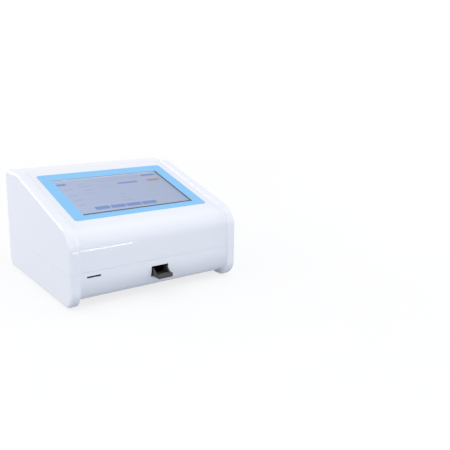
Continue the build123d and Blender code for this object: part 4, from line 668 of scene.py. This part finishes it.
def casing_openings(middle, upper):
    """Where a half is open: edges along its path, the holes as (first, last, left, right), and edges across.

    Each edge along the path is looked for between the two stations that station_at is given.
    """
    rear_gap = 0.2 * MM
    rear_x = rear_high.x + rear_gap
    if upper:
        _, _, down, (window_width, window_height) = screen_sizes()
        window_x, lean = window_width / 2, math.cos(settings().casing.slope)
        along = [
            station_at(middle, 0, case_crease() - (down + window_height / 2) * lean, 1.5, 3),
            station_at(middle, 0, case_crease() - (down - window_height / 2) * lean, 2, 3.5),
            station_at(middle, 1, rear_high.z + rear_gap, 6, 7),
        ]
        holes = [(along[0], along[1], -window_x, window_x), (along[2], len(middle), -rear_x, rear_x)]
        return along, holes, [-window_x, window_x, -rear_x, rear_x]
    mouth_low, mouth_high = liner_mouth()
    slot_low, slot_high = card_slot()
    along = [
        station_at(middle, 1, rear_low.z - rear_gap, 0, 1),
        station_at(middle, 1, mouth_low[1], 3.2, 6),
        station_at(middle, 1, mouth_high[1], 3.2, 6),
        station_at(middle, 1, slot_low[1], 4, 6.9),
        station_at(middle, 1, slot_high[1], 4, 6.9),
    ]
    holes = [
        (0.0, along[0], -rear_x, rear_x),
        (along[1], along[2], mouth_low[0], mouth_high[0]),
        (along[3], along[4], slot_low[0], slot_high[0]),
    ]
    return along, holes, [-rear_x, rear_x, mouth_low[0], mouth_high[0], slot_low[0], slot_high[0]]


def rear_seat(grid, row, left, right, upper):
    """Walls of the seat round the rear panel, as three lines of points from the opening's own edge straight in."""
    if upper:
        rim = [grid[row:, left][::-1], grid[row, left + 1 : right], grid[row:, right]]
    else:
        rim = [grid[: row + 1, right], grid[row, left + 1 : right][::-1], grid[: row + 1, left][::-1]]
    seat = np.repeat(np.concatenate(rim)[None], 3, axis=0)
    seat_back = rear_low.y - 2.5 * MM
    share = np.linspace(0, 1, 3)[:, None]
    seat[..., 1] = (1 - share) * seat[..., 1] + share * seat_back
    return seat


def casing_half(name, upper):
    """One half of the casing: a grid of side paths across the width, with its openings left out.

    A point is (x, (1 - t) x middle + t x cheek - inset x normal), and every opening's edge is a line of the grid.
    """
    s = settings().casing
    middle, cheek = side_paths(upper)
    along, holes, across = casing_openings(middle, upper)
    # Even rows on each stretch of the path
    spans = (8, 14, 20, 6, 8, 12, 12) if upper else (10, 10, 24, 12, 1, 18, 4)
    even = np.concatenate([k + np.arange(n) / n for k, n in enumerate(spans)] + [[len(spans)]])
    nearest = 0.035
    stations = with_edges(even, along, nearest)
    x, t, inset = across_stations(across)
    flat, _ = walk(middle, stations)
    proud, normal = walk(cheek, stations)
    t, inset = t[None, :, None], inset[None, :, None]
    side = (1 - t) * flat[:, None] + t * proud[:, None] - inset * normal[:, None]
    # Both ends of the grid lie in the plane of the seam
    side[[0, -1], :, 1] = s.seam + s.seam_gap if upper else s.seam
    grid = np.concatenate([np.broadcast_to(x[None, :, None], side.shape[:2] + (1,)), side], axis=2)
    rows, columns = grid.shape[:2]
    row_middle, column_middle = (stations[:-1] + stations[1:]) / 2, (x[:-1] + x[1:]) / 2
    keep = np.ones((rows - 1, columns - 1), bool)
    for first, last, left, right in holes:
        in_rows = (row_middle > first) & (row_middle < last)
        in_columns = (column_middle > left) & (column_middle < right)
        keep &= ~(in_rows[:, None] & in_columns[None])
    # The flat outer faces of both cheeks close the sides
    left_end = np.arange(rows) * columns
    faces = [*quads(rows, columns, keep=keep), left_end, (left_end + columns - 1)[::-1]]
    # The rear panel's opening is the last hole of the upper half and the first of the lower
    first, last, left, right = holes[-1] if upper else holes[0]
    turn_row = np.argmin(abs(stations - (first if upper else last)))
    seat = rear_seat(grid, turn_row, np.argmin(abs(x - left)), np.argmin(abs(x - right)), upper)
    faces += list(quads(*seat.shape[:2], first=rows * columns))
    piece = mesh_object(name, np.concatenate([grid.reshape(-1, 3), seat.reshape(-1, 3)]), faces)
    with edited(piece) as work:
        bmesh.ops.remove_doubles(work, verts=work.verts, dist=0.02 * MM)
    wall = piece.modifiers.new("wall", "SOLIDIFY")
    wall.thickness = s.wall
    wall.offset = -1.0
    wall.use_even_offset = True
    wall.thickness_clamp = 1.0
    soften(piece, s.edge, limit=38.0)
    return piece


def liner_mouth():
    """Lowest and highest corner, across and up, of the opening in the front panel round the tray."""
    gap, flange = 0.2 * MM, 2.4 * MM
    inset = flange - gap
    return (liner_low.x + inset, liner_low.z + inset), (liner_high.x - inset, liner_high.z - inset)


def card_slot():
    """Lowest and highest corner, across and up, of the card slot in the front panel."""
    socket_low, socket_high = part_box("card_socket")
    side_wall, half_height = 3.0 * MM, 1.2 * MM
    middle = (socket_low.z + socket_high.z) / 2
    return (socket_low.x + side_wall, middle - half_height), (socket_high.x - side_wall, middle + half_height)


def drill(piece, spots):
    """Cuts round holes up from below: each spot is (x, y, radius, bottom, top).

    A cutter is a cylinder, points (x + r cos(a), y + r sin(a), z) on two rings closed by a face each.
    """
    sides = 28
    turn = np.arange(sides) / sides * 2 * math.pi
    circle = np.stack([np.cos(turn), np.sin(turn)], axis=1)
    rings, faces = [], []
    for x, y, radius, bottom, top in spots:
        faces += prism_faces(sides, len(rings) * sides)
        ring = circle * radius + (x, y)
        rings += [np.c_[ring, np.full(sides, bottom)], np.c_[ring, np.full(sides, top)]]
    cutter = mesh_object("hole_cutter", np.concatenate(rings), faces, smooth=False)
    cut = piece.modifiers.new("holes", "BOOLEAN")
    cut.operation = "DIFFERENCE"
    cut.solver = "EXACT"
    cut.object = cutter
    finish_modifiers(piece)
    bpy.data.objects.remove(cutter)


class READER_OT_casing(bpy.types.Operator):
    """Builds both halves of the white casing, with their openings, wall and screw holes."""

    bl_idname = "reader.casing"
    bl_label = "Casing"

    def execute(self, context):
        dress(casing_half("casing_top", True), "casing_white", "casing", "upper_casing")
        lower = casing_half("casing_bottom", False)
        base = settings().casing.base
        from_below = base - 2 * MM
        screw_low, screw_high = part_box("casing_screws")
        head, recess, recess_depth = 2.8 * MM, 3.3 * MM, 3.4 * MM
        spots = [
            (x, y, recess, from_below, base + recess_depth)
            for x in (screw_low.x + head, screw_high.x - head)
            for y in (screw_low.y + head, screw_high.y - head)
        ]
        # Speaker holes: one, then rings of six and twelve, a pitch apart
        speaker_x = (speaker_low.x + speaker_high.x) / 2
        speaker_y = (speaker_low.y + speaker_high.y) / 2
        pitch, hole, hole_depth = 5.5 * MM, 1.3 * MM, 4 * MM
        for ring in range(3):
            count = max(1, ring * 6)
            for turn in np.arange(count) / count * 2 * math.pi:
                x, y = speaker_x + ring * pitch * math.cos(turn), speaker_y + ring * pitch * math.sin(turn)
                spots.append((x, y, hole, from_below, base + hole_depth))
        drill(lower, spots)
        dress(lower, "casing_white", "casing", "lower_casing")
        return {"FINISHED"}


# Screen


def on_face(x, down, over):
    """Points for places on the screen face: x across, down from the crease, and over the face, square to it."""
    slope = settings().casing.slope
    y = case_crease() - down * math.cos(slope) - over * math.sin(slope)
    z = case_high.z - down * math.sin(slope) + over * math.cos(slope)
    return np.stack([x, y, z], axis=-1)


def rounded_loop(width, height, radius, steps=6):
    """Points round a rectangle with rounded corners about the origin, counter-clockwise from its right side.

    Each corner is a quarter circle: its centre + radius x (cos(a), sin(a)).
    """
    turn = np.linspace(0, math.pi / 2, steps) + np.arange(4)[:, None] * math.pi / 2
    centres = np.array([(1, 1), (-1, 1), (-1, -1), (1, -1)]) * (width / 2 - radius, height / 2 - radius)
    return (centres[:, None] + radius * np.stack([np.cos(turn), np.sin(turn)], axis=-1)).reshape(-1, 2)


def face_ring(name, middle_down, loops, overs):
    """A closed band lying on the screen face: each loop, at its height over the face, is one line of the grid.

    The loops are carried round in order and the last joins the first, so the band has no open edge.
    """
    grid = np.stack([on_face(loop[:, 0], middle_down - loop[:, 1], over) for loop, over in zip(loops, overs)])
    faces = quads(*grid.shape[:2], closed_rows=True, closed_columns=True)
    piece = mesh_object(name, grid, faces, smooth=False)
    with edited(piece) as work:
        bmesh.ops.recalc_face_normals(work, faces=work.faces)
    return piece


def face_plate(name, boxes, over, thickness, radius):
    """Flat bars lying on the screen face; each box is (left, top, right, bottom) in place across and down.

    A bar is a rounded loop at two heights, closed by a flat face above and below.
    """
    rings, faces = [], []
    for left, top, right, bottom in boxes:
        loop = rounded_loop(right - left, bottom - top, min(radius, (bottom - top) * 0.45), 4)
        faces += prism_faces(len(loop), len(rings) * len(loop))
        x, down = loop[:, 0] + (left + right) / 2, (top + bottom) / 2 - loop[:, 1]
        rings += [on_face(x, down, over - thickness), on_face(x, down, over)]
    return mesh_object(name, np.concatenate(rings), faces, smooth=False)


def screen_sizes():
    """Middle of the window down the face, and the width and height of the membrane and of its window."""
    screen, s = settings().screen, settings().casing
    # The film is twice its rise thick, and it leans with the face
    height = (membrane_high.y - membrane_low.y - 2 * screen.film * math.sin(s.slope)) / math.cos(s.slope)
    width = membrane_high.x - membrane_low.x
    window = (width - 2 * screen.side, height - screen.above - screen.below)
    return screen.top + height / 2, (width, height), screen.top + screen.above + window[1] / 2, window


class READER_OT_membrane(bpy.types.Operator):
    """Builds the blue membrane: a film with rounded corners, a soft edge and a window."""

    bl_idname = "reader.membrane"
    bl_label = "Membrane"

    def execute(self, context):
        screen = settings().screen
        middle, (width, height), window_middle, (window_width, window_height) = screen_sizes()
        shift = (0, middle - window_middle)
        window_corner = 0.8 * MM
        # The film's edges are broken by this much across, twice, and this much down
        broken, broken_down = 0.3 * MM, 0.1 * MM
        outer = rounded_loop(width, height, screen.corner)
        drawn = rounded_loop(width - broken, height - broken, screen.corner)
        inner = rounded_loop(window_width, window_height, window_corner) + shift
        back = rounded_loop(window_width + broken, window_height + broken, window_corner) + shift
        top, low = screen.film, screen.film - broken_down
        film = face_ring(
            "blue_membrane", middle, [outer, outer, drawn, back, inner, inner], [-top, low, top, top, low, -top]
        )
        dress(film, "membrane_blue", "casing", "screen_membrane")
        return {"FINISHED"}


class READER_OT_screen(bpy.types.Operator):
    """Builds what shows through the glass: the lit ground, its blank bars and buttons, and the black mask."""

    bl_idname = "reader.screen"
    bl_label = "Screen"

    def execute(self, context):
        screen = settings().screen
        _, _, middle, (width, height) = screen_sizes()
        over = -screen.picture_depth
        margin = 2.5 * MM
        x, y = width / 2 + margin, height / 2 + margin
        box = (-x, middle - y, x, middle + y)
        ground = face_plate("picture_ground", [box], over, thickness=0.05 * MM, radius=0.1 * MM)
        show(ground, "lit_display_ground")
        # Blank fields as (left, top, right, bottom): millimetres across from the window's middle and down from its top
        buttons = [
            (-88.0, 10.6, -71.0, 17.0), (57.0, 5.2, 79.5, 10.8), (7.0, 24.8, 40.5, 29.8),
            (-61.5, 93.0, -39.5, 102.5), (-37.5, 93.5, -15.0, 103.0), (-13.5, 94.0, 9.5, 103.5),
            (11.0, 94.6, 34.5, 104.0),
        ]
        warm = [(57.5, 23.6, 79.5, 30.4)]
        lines = [
            (-56.0, 17.0, -40.0, 18.4), (-56.0, 24.5, -33.0, 26.4), (-82.0, 31.0, -66.0, 32.8),
            (-56.0, 38.0, -38.0, 40.0), (-80.0, 50.5, -67.0, 52.6), (-56.0, 49.0, -40.0, 51.0),
            (-80.0, 66.0, -66.0, 68.0), (-79.0, 81.5, -68.0, 84.0), (-20.0, 13.4, 12.0, 14.6),
            (16.0, 10.0, 47.0, 11.2), (-26.0, 33.5, 2.0, 35.2), (-9.0, 61.0, 1.0, 63.0),
            (-9.0, 71.5, 2.0, 73.6), (-9.0, 82.0, 4.0, 84.0), (52.0, 87.5, 79.0, 88.3),
        ]
        rules = [(-86.0, 1.6, 84.0, 2.6), (-86.0, 90.2, 50.0, 90.6)]
        top = middle - height / 2
        for name, finish, boxes, rise in (
            ("blue_buttons", "screen_button", buttons, 0.04),
            ("warm_button", "screen_warm_button", warm, 0.04),
            ("text_lines", "screen_text_line", lines, 0.03),
            ("header_rules", "screen_rule", rules, 0.03),
        ):
            placed = np.array(boxes) * MM + (0, top, 0, top)
            show(face_plate(name, placed, over + rise * MM, thickness=0.02 * MM, radius=0.6 * MM), finish)
        # A black band round the picture under the glass: wide below it and at its right, thin above it and at its left
        thin, side, low = screen.mask_thin, screen.mask_side, screen.mask_low
        corner, mask_thickness, glass = 0.5 * MM, 0.1 * MM, 0.15 * MM
        outer = rounded_loop(width + 2 * margin, height + 2 * margin, corner)
        inner = rounded_loop(width - thin - side, height - thin - low, corner)
        inner += ((thin - side) / 2, (low - thin) / 2)
        back = -screen.glass_depth - glass
        border = face_ring("black_mask", middle, [outer, outer, inner, inner], [back - mask_thickness, back, back, back - mask_thickness])
        show(border, "black_mask_band")
        finer_copy("touch_glass", "touch_pane", 0.2)
        return {"FINISHED"}


class READER_OT_tray(bpy.types.Operator):
    """Finishes the cassette tray, its clips, and the liner round its mouth."""

    bl_idname = "reader.tray"
    bl_label = "Tray and liner"

    def execute(self, context):
        finer_copy("test_tray", "cassette_tray", 0.35)
        finer_copy("tray_clips", "clip_springs")
        finer_copy("tray_mouth_liner", "mouth_liner", 0.25)
        finer_copy("tray_carriage", "slide_carriage", 0.2)
        return {"FINISHED"}


class READER_OT_rear(bpy.types.Operator):
    """Finishes the rear panel, its sockets and the power switch."""

    bl_idname = "reader.rear"
    bl_label = "Rear panel"

    def execute(self, context):
        finer_copy("rear_panel", "vented_rear_panel", 0.25)
        finer_copy("usb_socket", "usb_port", 0.15)
        finer_copy("network_socket", "network_port", 0.15)
        finer_copy("serial_socket", "serial_port", 0.15)
        finer_copy("power_socket", "power_inlet", 0.2)
        finer_copy("switch_body", "switch_housing", 0.25)
        finer_copy("power_rocker", "switch_rocker", 0.25)
        return {"FINISHED"}


class READER_OT_feet(bpy.types.Operator):
    """Finishes the rubber feet, the casing's screws and the card reader behind its slot."""

    bl_idname = "reader.feet"
    bl_label = "Feet, screws and card reader"

    def execute(self, context):
        finer_copy("rubber_feet", "moulded_feet", 0.3)
        finer_copy("casing_screws", "case_screws", 0.1)
        finer_copy("card_socket", "card_port", 0.15)
        return {"FINISHED"}


class READER_OT_inside(bpy.types.Operator):
    """Gives every CAD node that is still shown the material of its slot."""

    bl_idname = "reader.inside"
    bl_label = "Inner parts"

    def execute(self, context):
        for node, piece in frame["nodes"].items():
            piece.data.materials.clear()
            piece.data.materials.append(MATERIALS[SLOT_OF[node]])
        return {"FINISHED"}


# Stage


def area_lamp(name, place, target, size, power, tone):
    """A soft box of that size in metres and power in watts at a place, turned to its target."""
    lamp = bpy.data.lights.new(name, "AREA")
    lamp.shape = "RECTANGLE"
    lamp.size, lamp.size_y = size
    lamp.energy = power
    lamp.color = tone
    box = bpy.data.objects.new(name, lamp)
    box.location = place
    box.rotation_euler = (Vector(target) - Vector(place)).to_track_quat("-Z", "Y").to_euler()
    bpy.context.scene.collection.objects.link(box)
    return box


def white_rays(tree):
    """A value that is 1 for the camera, mirror and glass rays, which see the white background, and else 0."""
    rays = add_node(tree, "LightPath").outputs
    seen = rays["Is Camera Ray"]
    for kind in ("Is Glossy Ray", "Is Transmission Ray"):
        seen = add_node(tree, "Math", {"operation": "MAXIMUM"}, {0: seen, 1: rays[kind]})
    return seen


def shown_white(name, tone, share):
    """A matt floor of a colour that camera, mirror and glass rays see as white.

    They see a share of plain white and, for the rest, white matt that keeps the shadow.
    From near to far from the object the share grows to 1, so that the floor has no far edge.
    """
    material, tree, place = start_material(name)
    near, far = 0.35, 1.5
    matt = add_node(tree, "BsdfDiffuse", {"Color": with_alpha(tone)})
    white = add_node(tree, "BsdfDiffuse", {"Color": (0.95, 0.95, 0.95, 1)})
    glow = add_node(tree, "Emission", {"Color": (1, 1, 1, 1), "Strength": 1.0})
    reach = add_node(tree, "VectorMath", {"operation": "LENGTH"}, {0: place}).outputs["Value"]
    fading = {"From Min": near, "From Max": far, "To Min": share, "To Max": 1.0}
    growing = add_node(tree, "MapRange", fading, {"Value": reach})
    shown = add_node(tree, "MixShader", links={0: growing, 1: white, 2: glow})
    above = add_node(tree, "MixShader", links={0: white_rays(tree), 1: matt, 2: shown})
    # From below the floor is clear, so that the underside can be looked at
    below = add_node(tree, "NewGeometry").outputs["Backfacing"]
    clear = add_node(tree, "BsdfTransparent")
    return close_material(material, add_node(tree, "MixShader", links={0: below, 1: above, 2: clear}))


class READER_OT_stage(bpy.types.Operator):
    """Sets out the pale floor, the soft boxes, the white room and the camera."""

    bl_idname = "reader.stage"
    bl_label = "Stage"

    def execute(self, context):
        scene = context.scene
        half = 6.0
        corners = [(-half, -half, 0), (half, -half, 0), (half, half, 0), (-half, half, 0)]
        floor = mesh_object("floor", corners, [(0, 1, 2, 3)])
        floor.data.materials.append(shown_white("pale_studio_floor", "8C97A6", 0.75))

        world = bpy.data.worlds.new("white_room")
        world.use_nodes = True
        tree = world.node_tree
        tree.nodes.clear()
        room = add_node(tree, "Background", {"Color": (0.93, 0.95, 1.0, 1), "Strength": 0.77})
        white = add_node(tree, "Background", {"Color": (1, 1, 1, 1), "Strength": 1.0})
        seen = add_node(tree, "MixShader", links={0: white_rays(tree), 1: room, 2: white})
        add_node(tree, "OutputWorld", links={"Surface": seen})
        scene.world = world

        middle = (0, 0, 0.08)
        for name, place, size, power, tone in (
            ("top_softbox", (0.1, -0.1, 1.7), (1.6, 1.6), 3.1, (1.0, 0.99, 0.98)),
            ("right_softbox", (1.8, -0.3, 0.5), (1.2, 0.8), 9.0, (0.99, 0.99, 1.0)),
            ("front_softbox", (-0.2, -1.9, 0.5), (1.5, 0.7), 9.0, (0.98, 0.985, 1.0)),
            ("left_softbox", (-1.9, -0.1, 0.6), (2.2, 1.1), 10.2, (0.98, 0.98, 1.0)),
            ("back_softbox", (-1.1, 1.8, 0.5), (1.2, 0.7), 11.0, (0.98, 0.985, 1.0)),
        ):
            area_lamp(name, place, middle, size, power, tone)
        # A thin strip low in front, whose reflection is the bright line across the front panel
        place, panel = (0.035, -0.386, 0.004), (0.035, -0.3, 0.084)
        strip = area_lamp("front_strip", place, panel, (0.13, 0.003), 0.03, (1.0, 1.0, 1.0))
        strip.visible_camera = False

        lens = bpy.data.cameras.new("camera")
        lens.lens = 48.16
        lens.sensor_width = 36.0
        lens.sensor_fit = "HORIZONTAL"
        lens.clip_start = 0.05
        lens.clip_end = 30.0
        camera = bpy.data.objects.new("camera", lens)
        camera.location = (-0.3981, -0.8155, 0.3029)
        looking = (Vector((0.2022, 0.0038, 0.0445)) - camera.location).to_track_quat("-Z", "Y")
        roll = Matrix.Rotation(math.radians(0.6), 3, "Z")
        camera.rotation_euler = (looking.to_matrix() @ roll).to_euler()
        scene.collection.objects.link(camera)
        scene.camera = camera
        scene.view_settings.view_transform = "Standard"
        return {"FINISHED"}


OPERATORS = (
    READER_OT_casing,
    READER_OT_membrane,
    READER_OT_screen,
    READER_OT_tray,
    READER_OT_rear,
    READER_OT_feet,
    READER_OT_inside,
    READER_OT_stage,
)


class READER_PT_panel(bpy.types.Panel):
    """Lists the pieces of the reader in the sidebar."""

    bl_idname = "READER_PT_panel"
    bl_label = "Immunoassay reader"
    bl_space_type = "VIEW_3D"
    bl_region_type = "UI"
    bl_category = "Reader"

    def draw(self, context):
        for operator in OPERATORS:
            self.layout.operator(operator.bl_idname)
        for group in (context.scene.reader.casing, context.scene.reader.screen, context.scene.reader.colours):
            for name in group.bl_rna.properties.keys():
                if name not in ("rna_type", "name"):
                    self.layout.prop(group, name)


CLASSES = (ReaderCasingSizes, ReaderScreenSizes, ReaderColours, ReaderSettings, *OPERATORS, READER_PT_panel)


def register():
    """Makes the reader's settings, operators and panel known to Blender."""
    for item in CLASSES:
        bpy.utils.register_class(item)
    bpy.types.Scene.reader = PointerProperty(type=ReaderSettings)


def unregister():
    """Takes them away again."""
    del bpy.types.Scene.reader
    for item in reversed(CLASSES):
        bpy.utils.unregister_class(item)


def main():
    register()
    MATERIALS.update(make_materials())
    MATERIALS.update(make_screen_materials())
    bpy.ops.reader.casing()
    bpy.ops.reader.membrane()
    bpy.ops.reader.screen()
    bpy.ops.reader.tray()
    bpy.ops.reader.rear()
    bpy.ops.reader.feet()
    bpy.ops.reader.inside()
    bpy.ops.reader.stage()


if __name__ == "__main__":
    main()
